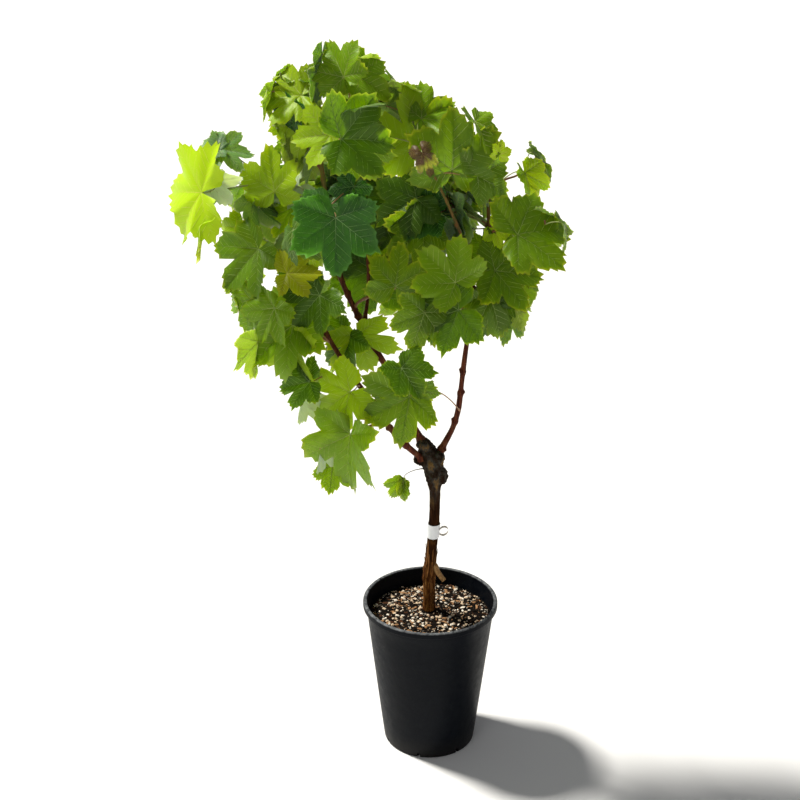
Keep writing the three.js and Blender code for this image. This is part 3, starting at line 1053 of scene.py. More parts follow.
class LeafShape:
    """One leaf's outline and bends, drawn from its own seed, for a leaf of length 1."""

    def __init__(self, rng, cut, fold, curl, back=None):
        self.fold = fold
        self.narrow = 1 / math.hypot(1, fold)  # a folded blade is narrower, not larger
        self.curl = curl
        # how much shorter than usual its back lobes are
        self.back = rng.uniform(0.0, 0.34) if back is None else back
        self.clefts = []
        for side in (-1, 1):
            for angle, deep, more in ((27, 0.08, 0.46), (80, 0.04, 0.36)):
                place = side * math.radians(angle + rng.uniform(-4, 4))
                depth = deep + more * cut * rng.uniform(0.6, 1.15)
                self.clefts.append((place, depth, math.radians(rng.uniform(3.6, 6.5))))
        self.puff = rng.uniform(0.05, 0.10)
        self.wave = rng.uniform(0.03, 0.075)
        self.droop = rng.uniform(-0.08, 0.30)
        self.sway = rng.uniform(-0.18, 0.18)
        self.wide = rng.uniform(0.94, 1.1)
        self.phases = [rng.uniform(0, 2 * math.pi) for _ in range(3)]

    def reach(self, angle):
        """The smooth edge's distance from the joint at an angle from the tip."""
        degrees = np.degrees(np.abs(angle))
        stops = np.array([stop[0] for stop in LOBES], float)
        reach = np.array([stop[1] for stop in LOBES])
        after = np.clip(np.searchsorted(stops, degrees), 1, len(stops) - 1)
        share = np.clip((degrees - stops[after - 1]) / (stops[after] - stops[after - 1]), 0, 1)
        eased = share * share * (3 - 2 * share)
        edge = reach[after - 1] * (1 - eased) + reach[after] * eased
        edge = edge * (1 - self.back * np.clip((degrees - 75) / 60, 0, 1))
        for vein in LEAF_VEINS:
            edge = edge + 0.08 * np.exp(-(((np.abs(angle) - vein) / 0.14) ** 2))
        for place, depth, width in self.clefts:
            edge = edge - depth * np.exp(-(((angle - place) / width) ** 2))
        return np.maximum(0.1, edge * (1 + (self.wide - 1) * np.abs(np.sin(angle))))

    def height(self, angle, share):
        """How far the blade stands above its plane."""
        reach = self.reach(angle) * share
        x, y = reach * np.sin(angle), reach * np.cos(angle)
        size = np.abs(angle)
        stops = np.append(LEAF_VEINS, LEAF_EDGE + 0.25)
        after = np.clip(np.searchsorted(stops, size, side="right"), 1, len(stops) - 1)
        between = (size - stops[after - 1]) / (stops[after] - stops[after - 1])
        pillow = np.sin(np.pi * np.clip(between, 0, 1)) ** 0.8
        ribs = 0.5 + 0.5 * np.cos(2 * np.pi * (5.2 * share + 0.55 * between))
        level = self.fold * self.narrow * np.sqrt(x * x + 0.004)
        level += self.puff * pillow * share * (1 - 0.4 * share)
        level += 0.012 * pillow * ribs * share * (1 - share)
        level -= self.curl * (x * x + y * y)
        level -= self.droop * np.clip(y, 0, None) ** 2 * 1.1
        level += self.sway * x * np.abs(x)
        waves = np.sin(5 * angle + self.phases[0]) + 0.6 * np.sin(9 * angle + self.phases[1])
        return level + self.wave * waves * share**3

    def place(self, angle, share, tooth=1.0):
        reach = self.reach(angle) * share * tooth
        height = self.height(angle, np.asarray(share, float))
        across = reach * np.sin(angle) * self.narrow
        return np.stack([across, reach * np.cos(angle), height], -1)


# %% Saw edge and the two skins
def saw_edge(shape, rng):
    """The angles round a leaf's edge, and how far each is pulled out or in for the teeth."""
    columns = 2 * TEETH + 1
    gap = 2 * LEAF_EDGE / (columns - 1)
    angles = np.linspace(-LEAF_EDGE, LEAF_EDGE, columns)
    angles[1:-1] += np.array([rng.uniform(-0.3, 0.3) for _ in range(columns - 2)]) * gap
    for place, _, _ in shape.clefts:
        angles[int(np.argmin(np.abs(angles - place)))] = place
    size = np.array([0.03 + 0.05 * rng.random() ** 1.4 for _ in range(columns)])
    size *= np.where((np.arange(columns) // 2) % 3 == 1, 1.4, 0.85)
    near_vein = np.min(np.abs(np.abs(angles)[:, None] - LEAF_VEINS[None, :]), axis=1)
    size *= 1 + 0.4 * np.exp(-((near_vein / 0.08) ** 2))
    for place, _, width in shape.clefts:
        size *= 1 - 0.9 * np.exp(-(((angles - place) / (1.3 * width)) ** 2))
    return angles, np.where(np.arange(columns) % 2 == 1, 1 + size, 1 - 0.4 * size)


def blade_skins(shape, rng, length):
    """Points and faces of the upper skin, then of the lower one."""
    angles, teeth = saw_edge(shape, rng)
    columns = len(angles)
    rows = [np.zeros((1, 3))]
    for share in LEAF_RINGS:
        tooth = 1 + (teeth - 1) * (1.0 if share == 1 else 0.35 if share > 0.9 else 0.0)
        rows.append(shape.place(angles, np.full(columns, share), tooth))
    top = np.concatenate(rows)
    top[0, 2] = shape.height(np.zeros(1), np.zeros(1))[0]
    faces = [(0, 1 + k, 2 + k) for k in range(columns - 1)]
    for ring in range(len(LEAF_RINGS) - 1):
        a = 1 + ring * columns
        b = a + columns
        faces += [(a + k, b + k, b + k + 1, a + k + 1) for k in range(columns - 1)]
    top *= length
    under = top.copy()
    inside = np.ones(len(top), bool)
    inside[-columns:] = False
    inside[1::columns] = False
    inside[columns::columns] = False
    inside[0] = True
    under[inside, 2] -= BLADE_THICKNESS
    upper = [(face[0], *reversed(face[1:])) for face in faces]
    return top, upper, under, faces


# %% Veins
def vein_rib(shape, length, start, end, wide, narrow, steps):
    """A four-sided rib along the blade from one flat place to another, on both skins."""
    start, end = np.asarray(start, float), np.asarray(end, float)
    rings = []
    across = np.array([-(end - start)[1], (end - start)[0]])
    across /= np.linalg.norm(across)
    for k in range(steps):
        share = k / (steps - 1)
        flat = start + (end - start) * share
        angle = math.atan2(flat[0], flat[1])
        out = float(np.hypot(*flat) / shape.reach(np.array([angle]))[0])
        level = float(shape.height(np.array([angle]), np.array([out]))[0]) * length
        half = wide + (narrow - wide) * share
        x, y = flat * length
        x *= shape.narrow
        dx, dy = across * half
        middle = level - BLADE_THICKNESS / 2
        rings += [(x + dx, y + dy, middle), (x, y, level + 0.45 * half + 0.16 * MM),
                  (x - dx, y - dy, middle), (x, y, level - BLADE_THICKNESS - 0.9 * half)]
    return rings, rings_to_faces(steps, 4)


def leaf_ribs(shape, rng, length):
    """The five main veins, and side veins that leave them forwards."""
    ribs = []
    for side in (-1, 1):
        for vein, angle in enumerate(LEAF_VEINS):
            if vein == 0 and side < 0:
                continue
            turn = side * angle
            reach = float(shape.reach(np.array([turn]))[0]) * 0.97
            tip = np.array([math.sin(turn), math.cos(turn)])
            wide = MAIN_VEIN_WIDTHS[vein]
            ribs.append(vein_rib(shape, length, tip * 0.004, tip * reach, wide, 0.2 * MM, 9))
            for step in range(SIDE_VEIN_PAIRS):
                along = 0.16 + 0.155 * step + rng.uniform(-0.02, 0.02)
                for way in (-1, 1):
                    lean = turn + way * math.radians(rng.uniform(40, 50))
                    begin = tip * reach * (along + 0.03 * way)
                    aim = np.array([math.sin(lean), math.cos(lean)])
                    run = side_run(shape, begin, aim, turn)
                    if run > 0.06:
                        ribs.append(vein_rib(shape, length, begin, begin + aim * run,
                                             0.34 * MM, 0.13 * MM, 4))
    return ribs


def side_run(shape, begin, aim, turn):
    """How far a side vein runs before the edge or the next main vein's ground."""
    bounds = sorted([*LEAF_VEINS, *(-LEAF_VEINS[1:])])
    run = 0.0
    while run < 0.6:
        flat = begin + aim * (run + 0.03)
        angle = math.atan2(flat[0], flat[1])
        if abs(angle) > LEAF_EDGE - 0.05:
            return run
        out = float(np.hypot(*flat) / shape.reach(np.array([angle]))[0])
        others = [abs(angle - bound) for bound in bounds if abs(bound - turn) > 0.1]
        if out > 0.95 or min(others) < abs(angle - turn):
            return run
        run += 0.03
    return run


# %% [markdown]
# ## Leaf colours
#
# Light falls on a vine unevenly, and most of the tones paint that in. The ladder from sunlit
# and bright yellow-green through fresh and green to deep green and blue-green shade is mostly
# one leaf colour, painted lighter or darker for the sun or shade each leaf stands in; the blue
# of the shade tone is a painted reflection of the sky. The grey-green tone is a painted sheen,
# the sky reflected on a glossy blade. One or two leaves really turn yellow or die. Each tone
# is its own plain finish for the upper skin, with a paler one below, and leaves are dealt a
# tone by their spray. A little light scatters through every blade (Subsurface), so a leaf lit
# from behind glows, as thin leaves do. Fine noise in the bump gives the blade its leathery
# touch.

# %% Leaf finishes
# From sunlit down to shade the tones are mostly one leaf colour with painted light and shade: sunlit and
# bright are painted sunlight, deep and shade are painted shade, and shade's blue is a painted sky
# reflection
LEAF_TONES = {  # upper colour, lower colour, vein colour
    "sunlit": ((0.42, 0.71, 0.006), (0.50, 0.68, 0.05), (0.70, 0.80, 0.12)),
    "bright": ((0.25, 0.42, 0.004), (0.30, 0.44, 0.06), (0.54, 0.66, 0.14)),
    "fresh": ((0.13, 0.25, 0.004), (0.22, 0.35, 0.08), (0.44, 0.56, 0.15)),
    "green": ((0.072, 0.145, 0.003), (0.17, 0.27, 0.08), (0.36, 0.48, 0.14)),
    "deep": ((0.036, 0.085, 0.003), (0.13, 0.22, 0.08), (0.26, 0.38, 0.12)),
    "shade": ((0.018, 0.058, 0.012), (0.12, 0.19, 0.10), (0.20, 0.32, 0.12)),
    # a grey-green painted sheen: the sky reflected on a glossy upper face
    "dusty": ((0.11, 0.22, 0.075), (0.2, 0.3, 0.12), (0.35, 0.45, 0.2)),
    "silver": ((0.13, 0.22, 0.08), (0.47, 0.68, 0.30), (0.60, 0.74, 0.40)),
    "yellow": ((0.24, 0.27, 0.003), (0.30, 0.32, 0.04), (0.45, 0.46, 0.08)),
    "dead": ((0.085, 0.045, 0.020), (0.14, 0.085, 0.045), (0.20, 0.12, 0.05)),
}
TONES = list(LEAF_TONES)


def leaf_finish(name, colour, roughness, glow):
    finish = Finish(name, roughness)
    finish.colour(colour)
    finish.shine(0.16)
    finish.shader.inputs["Subsurface Weight"].default_value = glow
    finish.shader.inputs["Subsurface Radius"].default_value = (0.7, 1.0, 0.2)
    finish.shader.inputs["Subsurface Scale"].default_value = 0.004
    finish.bump(finish.cells(0.0022), 0.00022)
    finish.bump(finish.noise(0.007, 4), 0.0005)
    return finish.material


leaf_finishes = []
for tone, (upper, lower, vein) in LEAF_TONES.items():
    leaf_finishes.append(leaf_finish(f"leaf_{tone}_upper", upper, 0.42, 0.5))
    leaf_finishes.append(leaf_finish(f"leaf_{tone}_under", lower, 0.75, 0.5))
    leaf_finishes.append(leaf_finish(f"leaf_{tone}_vein", vein, 0.5, 0.2))
print("leaf finishes:", len(leaf_finishes))


# %% Make one leaf
def add_leaf(heap, joint, tip, face, length, tone, rng, cut=None, fold=None, curl=None, back=None):
    """Adds a leaf at its stalk's joint, its tip and its upper face turned as told."""
    cut = rng.uniform(0.15, 0.75) if cut is None else cut
    fold = rng.uniform(0.05, 0.5) if fold is None else fold
    curl = rng.uniform(0.0, 0.4) if curl is None else curl
    shape = LeafShape(rng, cut, fold, curl, back)
    tip = (tip - face * tip.dot(face)).normalized()
    turn = np.array([tip.cross(face), tip, face])
    first = 3 * TONES.index(tone)
    top, upper, under, lower = blade_skins(shape, rng, length)
    base = np.array(joint)
    heap.add(top @ turn + base, upper, first)
    heap.add(under @ turn + base, lower, first + 1)
    for points, faces in leaf_ribs(shape, rng, length):
        heap.add(np.array(points) @ turn + base, faces, first + 2)


# %% [markdown]
# ## The branching rule
#
# Each packed mass of leaves is replaced by a spray. A shoot leaves the nearest wood that lies
# below the mass, bends up towards the middle of the mass and ends a little above it. Leaves are
# set out inside the mass one by one: of several seeded places, each takes the one furthest
# from the leaves already there, which is how leaves share out the light. Each leaf faces
# outwards and up, hangs its tip, and is joined to the nearest point of a shoot by its stalk.
#
# Masses are dressed in order of their distance from the canes, so shoots grow on from shoots.
# A spray may name its lead leaves: where each one's joint is in the mass (across and up, from
# -1 to 1), which way its tip turns from hanging straight down, its length, its tone, how deep
# its clefts are, and how far its face turns to the right and up. Two more numbers may follow:
# how sharply it is folded, and how many millimetres it stands further back. Lead leaves stand
# at the front of the mass, where each one is read as a leaf of its own; the others only fill
# in behind them.

# %% Sprays
# How many leaves fill each mass, the tones they are dealt, and its lead leaves
# The tones dealt here put painted sunlight and painted shade on the leaves, besides the real yellow and
# dead ones
SPRAYS = {
    "leaves_top_right": (2, "bright fresh green", [(-0.6, 0.2, 66, 60, "fresh", 0.25, 15, 45)]),
    "leaves_top_left": (2, "fresh deep", [(0.6, -0.25, -146, 60, "fresh", 0.3, -25, 22, 0.5)]),
    "leaves_high_left": (3, "bright shade deep", [
        (0.5, 0.02, -97, 63, "bright", 0.5, -10, 48),
        (0.25, -0.25, -22, 50, "shade", 0.3, -45, 5)]),
    "leaves_left_tip": (1, "bright sunlit", [
        (0.25, 0.1, -95, 92, "sunlit", 0.12, -40, 18),
        (0.35, 0.3, -30, 54, "silver", 0.4, -40, 0, 0.9)]),
    # the shoulder's two lead leaves take the painted sky reflection
    "leaves_left_shoulder": (1, "shade green", [
        (0.05, -0.1, 98, 47, "dusty", 0.5, 15, 60), (0.0, -0.1, -80, 40, "dusty", 0.3, -20, 60)]),
    "leaves_left_side": (4, "deep fresh", [
        (0.8, 0.75, -40, 80, "green", 0.45, -28, 30),
        (0.45, -0.35, -20, 58, "fresh", 0.4, -40, 10)]),
    "leaves_left_bottom": (4, "green bright", [
        (0.55, 0.25, -52, 88, "fresh", 0.55, -20, 35),
        (0.5, -0.1, -5, 72, "bright", 0.5, -40, 12)]),
    "leaves_bottom_tip": (1, "bright fresh", [
        (0.55, 0.65, -6, 96, "fresh", 0.5, -38, 14, 0.6),
        (-0.5, 0.3, -12, 42, "silver", 0.4, -40, 0, 0.9)]),
    "leaves_right_tip": (3, "bright green", [
        (-0.5, 0.0, 28, 56, "fresh", 0.3, 25, 5, 2.0)]),
    "leaves_right_outer": (2, "green", [(-0.6, 0.12, 114, 84, "green", 0.3, 5, 46, 0.2)]),
    "leaves_right_lower": (4, "green deep", [
        (-0.4, 0.5, 88, 74, "green", 0.6, 15, 42), (-0.5, 0.0, 14, 62, "green", 0.4, 25, 25),
        (-0.6, -0.15, -6, 54, "deep", 0.4, 5, 12)]),
    "leaves_upper_right": (4, "green fresh", [
        (-0.3, -0.5, 178, 82, "green", 0.35, 8, -8), (0.3, -0.65, 112, 58, "green", 0.2, 25, 15),
        (0.8, -0.15, 160, 21, "sunlit", 0.3, 20, 0), (-1.0, -0.1, 25, 36, "dead", 0.5, 0, 20, 1.3, -45)]),
    "leaves_upper_middle": (4, "bright fresh", [
        (0.1, -0.6, -172, 88, "bright", 0.5, 28, -5), (0.3, 0.05, 135, 66, "fresh", 0.3, 10, 40)]),
    "leaves_front_high": (3, "fresh deep", [
        (-0.2, 0.0, 96, 84, "deep", 0.4, 18, 30), (-0.4, 0.1, -85, 58, "bright", 0.45, -10, 20, 0.3, 26)]),
    "leaves_front_middle": (3, "shade deep", [(0.15, 0.3, 2, 80, "shade", 0.3, -6, 22)]),
    "leaves_front_low": (3, "green fresh", [
        (0.05, 0.17, -60, 74, "green", 0.6, 4, 22, 0.25), (-0.1, 0.95, 20, 52, "deep", 0.3, 20, 40)]),
    "leaves_low_left": (4, "bright fresh", [
        (0.65, -0.2, -58, 72, "bright", 0.85, -25, 30),
        (-0.55, -0.45, -25, 46, "silver", 0.4, -45, 0, 0.9),
        (-0.35, 0.12, -84, 52, "deep", 0.5, -25, 35)]),
    "leaves_inner_left": (5, "bright deep", [
        (0.25, 0.1, -170, 64, "bright", 0.35, -15, -5),
        (-0.6, -0.75, -50, 44, "bright", 0.3, -30, 30),
        (0.75, 0.2, -60, 44, "silver", 0.6, -15, 20, 0.7)]),
    "leaves_upper_left": (5, "bright green", [(0.3, 0.95, -14, 60, "bright", 0.45, -12, 22)]),
    "leaves_middle_left": (4, "fresh green", [
        (-0.45, 0.4, 95, 50, "yellow", 0.4, 0, 45),
        (0.3, -0.1, -40, 62, "deep", 0.4, -20, 20),
        (-0.75, -0.4, -25, 56, "fresh", 0.4, -35, 20)]),
    "leaves_low_middle": (4, "deep green", [
        (-0.3, 0.8, -38, 62, "deep", 0.4, -25, 15),
        (-0.05, 0.8, 18, 68, "bright", 0.95, 5, 5)]),
    "leaves_middle": (4, "green deep", [(-0.15, 0.2, 172, 60, "green", 0.4, 0, 8)]),
    "leaves_right_middle": (4, "green deep", [
        (0.5, 0.8, -140, 68, "fresh", 0.5, 15, 30), (0.6, 0.2, -70, 66, "deep", 0.4, -10, 30),
        (-0.3, 0.15, -20, 56, "green", 0.4, 12, 22)]),
    "leaves_right_inner": (8, "deep shade", [
        (-0.35, 0.0, -95, 56, "shade", 0.2, -15, 30),
        (0.9, -0.3, 60, 32, "sunlit", 0.3, 20, 30),
        (-0.75, 0.3, -58, 70, "deep", 0.3, -12, 28), (-0.6, -0.3, -50, 66, "green", 0.3, 5, 20)]),
    "leaves_back_top": (12, "fresh green bright", []),
    "leaves_back_left": (13, "bright green", []),
    "leaves_back_middle": (14, "green deep", [
        (0.1, -1.2, 12, 80, "green", 0.3, 0, 18), (0.85, -0.3, -20, 74, "deep", 0.3, 8, 15)]),
    "leaves_back_right": (14, "green fresh deep", []),
    "leaves_back_low": (10, "green deep", [(-1.25, 0.6, -12, 76, "deep", 0.3, -8, 18)]),
}
print("masses:", len(SPRAYS), "lead leaves:", sum(len(spray[2]) for spray in SPRAYS.values()))

# %% [markdown]
# Between the sprays the sky shows, and one stretch of the middle cane is bare. A clearing is
# a capsule in the upright plane through the stem; seen from the front, no leaf may cross it.
# Where it keeps a cane in view, leaves behind the cane may stay. Two more rules keep the
# crown in order: a leaf stays in the masses' outline, and none hides a lead leaf's middle.

# %% Clearings and room
# (X, Z) of both ends and the radius in mm, and whether leaves behind may stay
CLEARINGS = [
    ((-71, 1140), (-3, 1118), 9, False),
    ((-275, 1098), (-262, 1040), 9, False),
    ((-340, 1052), (-292, 1060), 9, False),
    ((-92, 823), (-99, 784), 9, False),
    ((-112, 690), (-108, 652), 7, False),
    ((-288, 986), (-252, 1002), 9, False),
    ((117, 1013), (116, 981), 8, False),
    ((84, 858), (86, 836), 6, False),
    ((5, 684), (34, 660), 12, False),
    ((-188, 690), (-184, 672), 7, False),
    ((-43, 778), (-45, 740), 5, False),
    ((-138, 818), (-74, 684), 9, True),
    ((62, 760), (12, 530), 12, True),
    ((-58, 557), (-24, 520), 12, True),
    ((-151, 962), (-156, 990), 7, True),
]
OUTLINE_SLACK = 7 * MM  # how far a leaf may stand out of a mass anywhere
REACH_OUT = 34 * MM  # and where other masses lie behind it
BOX_SLACK = 5 * MM
FRONT_SLACK = 2 * MM
SILVER_BEHIND = 24 * MM
lead_middles = []  # (X and Z as seen, depth, radius kept clear)


def seen_at_stem(point):
    """Where the line of sight from the camera through a point meets the stem's plane."""
    share = (0 - CAMERA_PLACE.y) / (point[1] - CAMERA_PLACE.y)
    return (CAMERA_PLACE.x + (point[0] - CAMERA_PLACE.x) * share,
            CAMERA_PLACE.z + (point[2] - CAMERA_PLACE.z) * share)


def crosses_clearing(points):
    for point in points:
        x, z = seen_at_stem(point)
        for (x0, z0), (x1, z1), radius, behind_stays in CLEARINGS:
            if behind_stays and point[1] > 8 * MM:
                continue
            run = np.array([x1 - x0, z1 - z0]) * MM
            offset = np.array([x - x0 * MM, z - z0 * MM])
            share = min(1.0, max(0.0, float(offset @ run) / float(run @ run)))
            if np.linalg.norm(offset - run * share) < radius * MM:
                return True
    return False


def hides_lead(points):
    for point in points:
        x, z = seen_at_stem(point)
        for lead_x, lead_z, depth, radius in lead_middles:
            if point[1] < depth and math.hypot(x - lead_x, z - lead_z) < radius:
                return True
    return False


def all_masses_tree():
    """One search tree over every mass of leaves."""
    points, faces = [], []
    for node in [*SPRAYS, "leaf_hanging"]:
        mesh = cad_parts[node].data
        first = len(points)
        points += [vertex.co.copy() for vertex in mesh.vertices]
        faces += [[first + corner for corner in face.vertices] for face in mesh.polygons]
    return BVHTree.FromPolygons(points, faces)


def leaves_outline(points):
    """Whether any point stands out of the masses' outline, or far in front of them."""
    for point in points:
        place, normal, _, distance = crown_tree.find_nearest(point)
        if distance < OUTLINE_SLACK or (point - place).dot(normal) < 0:
            continue
        hit = crown_tree.ray_cast(CAMERA_PLACE, (point - CAMERA_PLACE).normalized())[0]
        if hit is None or distance > REACH_OUT:
            return True
        if not all(cad_low[k] - BOX_SLACK < point[k] < cad_high[k] + BOX_SLACK for k in range(3)):
            return True
    return False


crown_tree = all_masses_tree()
print("clearings:", len(CLEARINGS))

# %% [markdown]
# A leaf is tested before it is made, by a few points spread over where its blade would lie.


# %% Test points of a blade
# Each is an angle from the tip, in degrees, and a share of the leaf's length
TEST_POINTS = [(0, 1.0), (0, 0.5)]
for degrees, share in ((50, 0.95), (105, 0.85), (25, 0.8), (80, 0.75), (50, 0.5), (140, 0.7),
                       (105, 0.4)):
    TEST_POINTS += [(degrees, share), (-degrees, share)]


def blade_samples(joint, tip, face, length):
    side = tip.cross(face)
    samples = []
    for degrees, reach in TEST_POINTS:
        a = math.radians(degrees)
        samples.append(joint + (tip * math.cos(a) + side * math.sin(a)) * reach * length)
    return samples


# %% Shoots and stalks
shoot_heap = Heap()
stalk_heap = Heap()
CROWN_AXIS = Vector((-0.09, 0.01, 0))


def bezier(p0, p1, p2, p3, steps):
    line = []
    for k in range(steps):
        t = k / (steps - 1)
        u = 1 - t
        line.append(p0 * u**3 + p1 * (3 * t * u * u) + p2 * (3 * t * t * u) + p3 * t**3)
    return line


def grow_shoot(goal, half, rng):
    """Grows a shoot from the best wood to the middle of a mass, and returns its points."""

    def cost(entry):
        place, ahead, _ = entry
        reach = goal - place
        climb = max(0.0, place.z - goal.z + 0.02)
        return reach.length + 1.6 * climb - 0.02 * ahead.dot(reach.normalized())

    start, ahead, radius = min(wood_places, key=cost)
    reach = goal - start
    end = goal + Vector((0, 0, 0.35 * half.z)) + reach.normalized() * 0.2 * half.x
    bend = (ahead + reach.normalized() + Vector((0, 0, 0.5))).normalized()
    steps = max(8, int(reach.length / 0.006))
    line = bezier(start, start + bend * 0.4 * reach.length,
                  goal - Vector((0, 0, 0.3 * half.z)), end, steps)
    sway = [Vector((rng.gauss(0, 1), rng.gauss(0, 1), 0)) * 0.8 * MM for _ in line]
    line = [p + sway[k] * min(1, k / 4) for k, p in enumerate(line)]
    foot = min(radius * 0.72, 2.6 * MM)
    lengths = travelled(line)
    taper = [foot + (1.1 * MM - foot) * s / lengths[-1] for s in lengths]
    gap = rng.uniform(28, 36) * MM

    def round_at(length, angle):
        joint = math.remainder(length, gap) / (2.6 * MM)
        return float(np.interp(length, lengths, taper)) * (1 + 0.35 * math.exp(-joint * joint))

    points, faces = sweep(smooth_line(line, 3 * MM), 9, round_at)
    shoot_heap.add(points, faces, 0 if foot > 1.9 * MM else 1)
    note_wood(line[2:], taper[2:], 3)
    return line


def grow_stalk(start, joint, tip, face, rng, thick=1.25, finish=None):
    """A leaf's stalk, from its place on the wood to the notch of the blade."""
    reach = (joint - start).length
    out = (joint - start).normalized()
    line = bezier(
        start,
        start + (out + Vector((0, 0, 0.45))).normalized() * 0.4 * reach,
        joint - (tip * 0.75 + face * 0.6) * 0.28 * reach,
        joint - face * 0.3 * MM,
        max(7, int(reach / 0.006)),
    )

    def round_at(along, angle):
        swell = math.exp(-along / (3 * MM)) * 0.8
        return (thick - 0.3 * along / max(reach, 0.01)) * MM * (0.85 + swell)

    dealt = 0 if rng.random() < 0.5 else 1
    stalk_heap.add(*sweep(line, 7, round_at), dealt if finish is None else finish)


def stalk_start(shoot, joint, length):
    """The place on a shoot that gives a leaf a stalk of about three quarters its length."""

    def cost(place):
        drop = max(0.0, place.z - joint.z)
        return abs((joint - place).length - 0.75 * length) + 0.8 * drop

    return min(shoot, key=cost)


# %% [markdown]
# The lead leaves of every mass come first, then the rest fill in behind them. A silver leaf
# is one that shows its pale underside, so it is turned face away and set further back; a
# dead one is folded and curled up hard. Most stalks spring from the spray's own shoot, but
# the big low leaf in front hangs on a long stalk from the right-hand cane.

# %% Where a leaf goes and how it turns
ATTEMPTS = 130
PLACES_TRIED = 8
FILL_LENGTHS = (0.052, 0.078)
ODD_LEAF_SHARE = 0.2  # how many fill leaves take a tone from outside their spray
LAST_SHRINK = 0.4  # by how much the last leaves tried are smaller
every_leaf = []  # blade middles placed so far, over the whole crown
STALKS_FROM_CANES = {"leaves_front_low": Vector((43, -3, 601)) * MM}


def spread_place(middle, half, rng):
    """Of several seeded places in a mass, the one with the most room round it."""
    best, room = None, -1
    for _ in range(PLACES_TRIED):
        direction = Vector((rng.gauss(0, 1), rng.gauss(0, 1), rng.gauss(0, 1))).normalized()
        out = rng.uniform(0.15, 0.85)
        place = middle + Vector([d * h * out for d, h in zip(direction, half)])
        near = min([(place - other).length for other in every_leaf], default=1)
        if near > room:
            best, room = place, near
    return best


def leaf_turned(place, middle, rng):
    """A leaf's facing and hanging directions: outwards, up and a bit at random."""
    out = Vector((place.x - CROWN_AXIS.x, 1.25 * (place.y - CROWN_AXIS.y), 0))
    out = out.normalized() if out.length > 0.01 else Vector((0, -1, 0))
    local = (place - middle).normalized()
    face = out * 0.75 + local * 0.35 + Vector((0, 0, 0.5))
    face += Vector((rng.gauss(0, 0.35), rng.gauss(0, 0.35), rng.gauss(0, 0.3)))
    face.normalize()
    hang = out * rng.uniform(0.1, 0.8) + Vector((0, 0, -1))
    hang += Vector((rng.gauss(0, 0.6), rng.gauss(0, 0.35), 0))
    hang = (hang - face * hang.dot(face)).normalized()
    return face, hang


# %% Add one leaf to a spray
def add_lead(heap, joint, lead, start, rng):
    """Adds a lead leaf with its stalk, and keeps its middle clear."""
    turn, length, tone, cut, yaw, pitch, *more = lead
    length *= MM
    a, yaw, pitch = (math.radians(angle) for angle in (turn, yaw, pitch))
    level = Vector((math.sin(yaw), -math.cos(yaw), 0))
    face = level * math.cos(pitch) + Vector((0, 0, math.sin(pitch)))
    tip = Vector((math.sin(a), 0, -math.cos(a)))
    tip = (tip - face * tip.dot(face)).normalized()
    bends = {"fold": rng.uniform(0.15, 0.5), "curl": rng.uniform(0.0, 0.3)}
    if tone == "dead":
        bends = {"fold": 1.3, "curl": 1.6}
    if more:
        bends["fold"] = more[0]
    behind = more[1] * MM if len(more) > 1 else 0.0
    if tone == "silver":
        face = -face
        bends["curl"] = -0.2
        behind = SILVER_BEHIND
    joint = joint + (joint - CAMERA_PLACE).normalized() * behind
    foremost = min(place.y for place in blade_samples(joint, tip, face, length))
    proud = max(0.0, cad_low.y - FRONT_SLACK - foremost)
    joint = joint + (joint - CAMERA_PLACE).normalized() * proud
    add_leaf(heap, joint, tip, face, length, tone, rng, cut=cut, **bends)
    grow_stalk(start, joint, tip, face, rng)
    middle = joint + tip * 0.3 * length
    every_leaf.append(middle)
    x, z = seen_at_stem(middle)
    lead_middles.append((x, z, middle.y + 0.2 * length, 0.42 * length))


def add_fill_leaf(heap, middle, half, shoot, tones, rng, shrink):
    """Tries one more leaf for a mass; says whether there was room for it."""
    place = spread_place(middle, half, rng)
    face, tip = leaf_turned(place, middle, rng)
    length = rng.uniform(*FILL_LENGTHS) * shrink
    joint = place - tip * 0.35 * length
    samples = blade_samples(joint, tip, face, length)
    if crosses_clearing(samples) or hides_lead(samples) or leaves_outline(samples):
        return False
    tone = rng.choice(tones)
    if rng.random() < ODD_LEAF_SHARE:
        tone = rng.choice(["fresh", "green", "deep", "bright"])
    add_leaf(heap, joint, tip, face, length, tone, rng)
    grow_stalk(stalk_start(shoot, joint, length), joint, tip, face, rng)
    every_leaf.append(place)
    return True


# %% Dress each mass
def wood_gap(node):
    """How far the middle of a mass is from the nearest wood."""
    low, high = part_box(node)
    middle = (low + high) / 2
    return min((middle - place).length for place, _, _ in wood_places)


def start_sprays():
    """Grows each mass's shoot, nearest the wood first, and its lead leaves."""
    sprays = {}
    waiting = list(SPRAYS)
    while waiting:
        node = min(waiting, key=wood_gap)
        waiting.remove(node)
        rng = random.Random(100 + list(SPRAYS).index(node))
        low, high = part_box(node)
        middle, half = (low + high) / 2, (high - low) / 2
        heap = Heap()
        shoot = grow_shoot(middle + Vector((0, 0.25 * half.y, 0)), half, rng)
        sprays[node] = (heap, shoot, middle, half, rng)
        for number, (across, up, *lead) in enumerate(SPRAYS[node][2]):
            joint = middle + Vector((across * half.x, -0.55 * half.y, up * half.z))
            start = stalk_start(shoot, joint, lead[1] * MM)
            if number == 0:
                start = STALKS_FROM_CANES.get(node, start)
            add_lead(heap, joint, lead, start, rng)
    return sprays


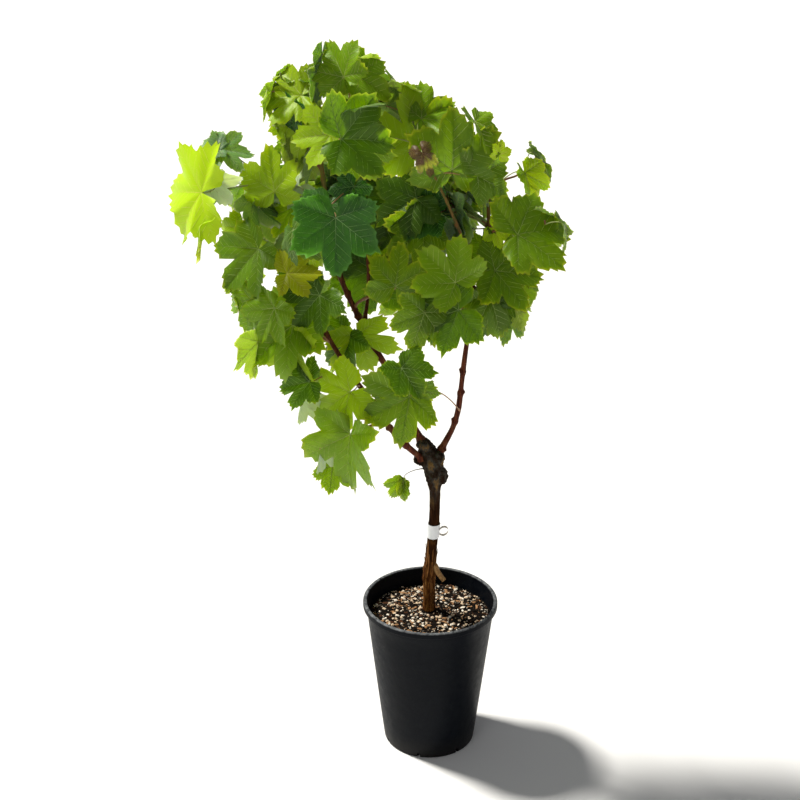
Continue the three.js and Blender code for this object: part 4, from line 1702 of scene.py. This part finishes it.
def dress_crown():
    sprays = start_sprays()
    wanted = {node: SPRAYS[node][0] for node in sprays}
    for attempt in range(ATTEMPTS):
        for node, (heap, shoot, middle, half, rng) in sprays.items():
            if wanted[node] > 0:
                tones = SPRAYS[node][1].split()
                shrink = 1 - LAST_SHRINK * attempt / ATTEMPTS
                wanted[node] -= add_fill_leaf(heap, middle, half, shoot, tones, rng, shrink)
    for node, (heap, *_) in sprays.items():
        heap.piece(node + "_spray", leaf_finishes, "leaves", [node])
    print("leaves:", len(every_leaf), "no room for:", {n: w for n, w in wanted.items() if w})


dress_crown()

# %% [markdown]
# ## The late leaf on the stem's head
#
# One small leaf hangs by itself from the head of the stem on a thin dark stalk. It is torn
# almost to its joint, so it is made as two narrow, folded blades that share one joint.


# %% The hanging leaf
def build_hanging_leaf():
    rng = random.Random(9)
    joint = Vector((-44, -10, 486)) * MM
    heap = Heap()
    face = Vector((-0.15, -1, 0.2)).normalized()
    for turn, length, fold in ((-32, 42, 1.1), (8, 38, 2.6)):
        a = math.radians(turn)
        tip = Vector((math.sin(a), 0, -math.cos(a)))
        tip = (tip - face * tip.dot(face)).normalized()
        add_leaf(heap, joint, tip, face, length * MM, "fresh", rng, 0.3, fold, 0.3, back=1.2)
    heap.piece("leaf_hanging_spray", leaf_finishes, "leaves", ["leaf_hanging"])
    grow_stalk(Vector((-10, -6, 502)) * MM, joint, tip, face, rng, thick=0.9, finish=2)


build_hanging_leaf()


# %% Join shoots and stalks
def stalk_finish(name, colour):
    finish = Finish(name, 0.5)
    finish.colour(colour)
    finish.bump(finish.noise(0.0016, 4, 0.5, finish.stretched((1, 1, 0.3))), 0.0002)
    return finish.material


shoot_heap.piece("green_shoots", [stalk_finish("ripening_shoot", (0.20, 0.085, 0.035)),
                                  stalk_finish("green_shoot", (0.19, 0.22, 0.05))], "cane")
stalk_heap.piece("leaf_stalks", [stalk_finish("red_stalk", (0.30, 0.15, 0.06)),
                                 stalk_finish("pale_stalk", (0.36, 0.42, 0.12)),
                                 stalk_finish("dark_stalk", (0.03, 0.012, 0.008))], "leaves")
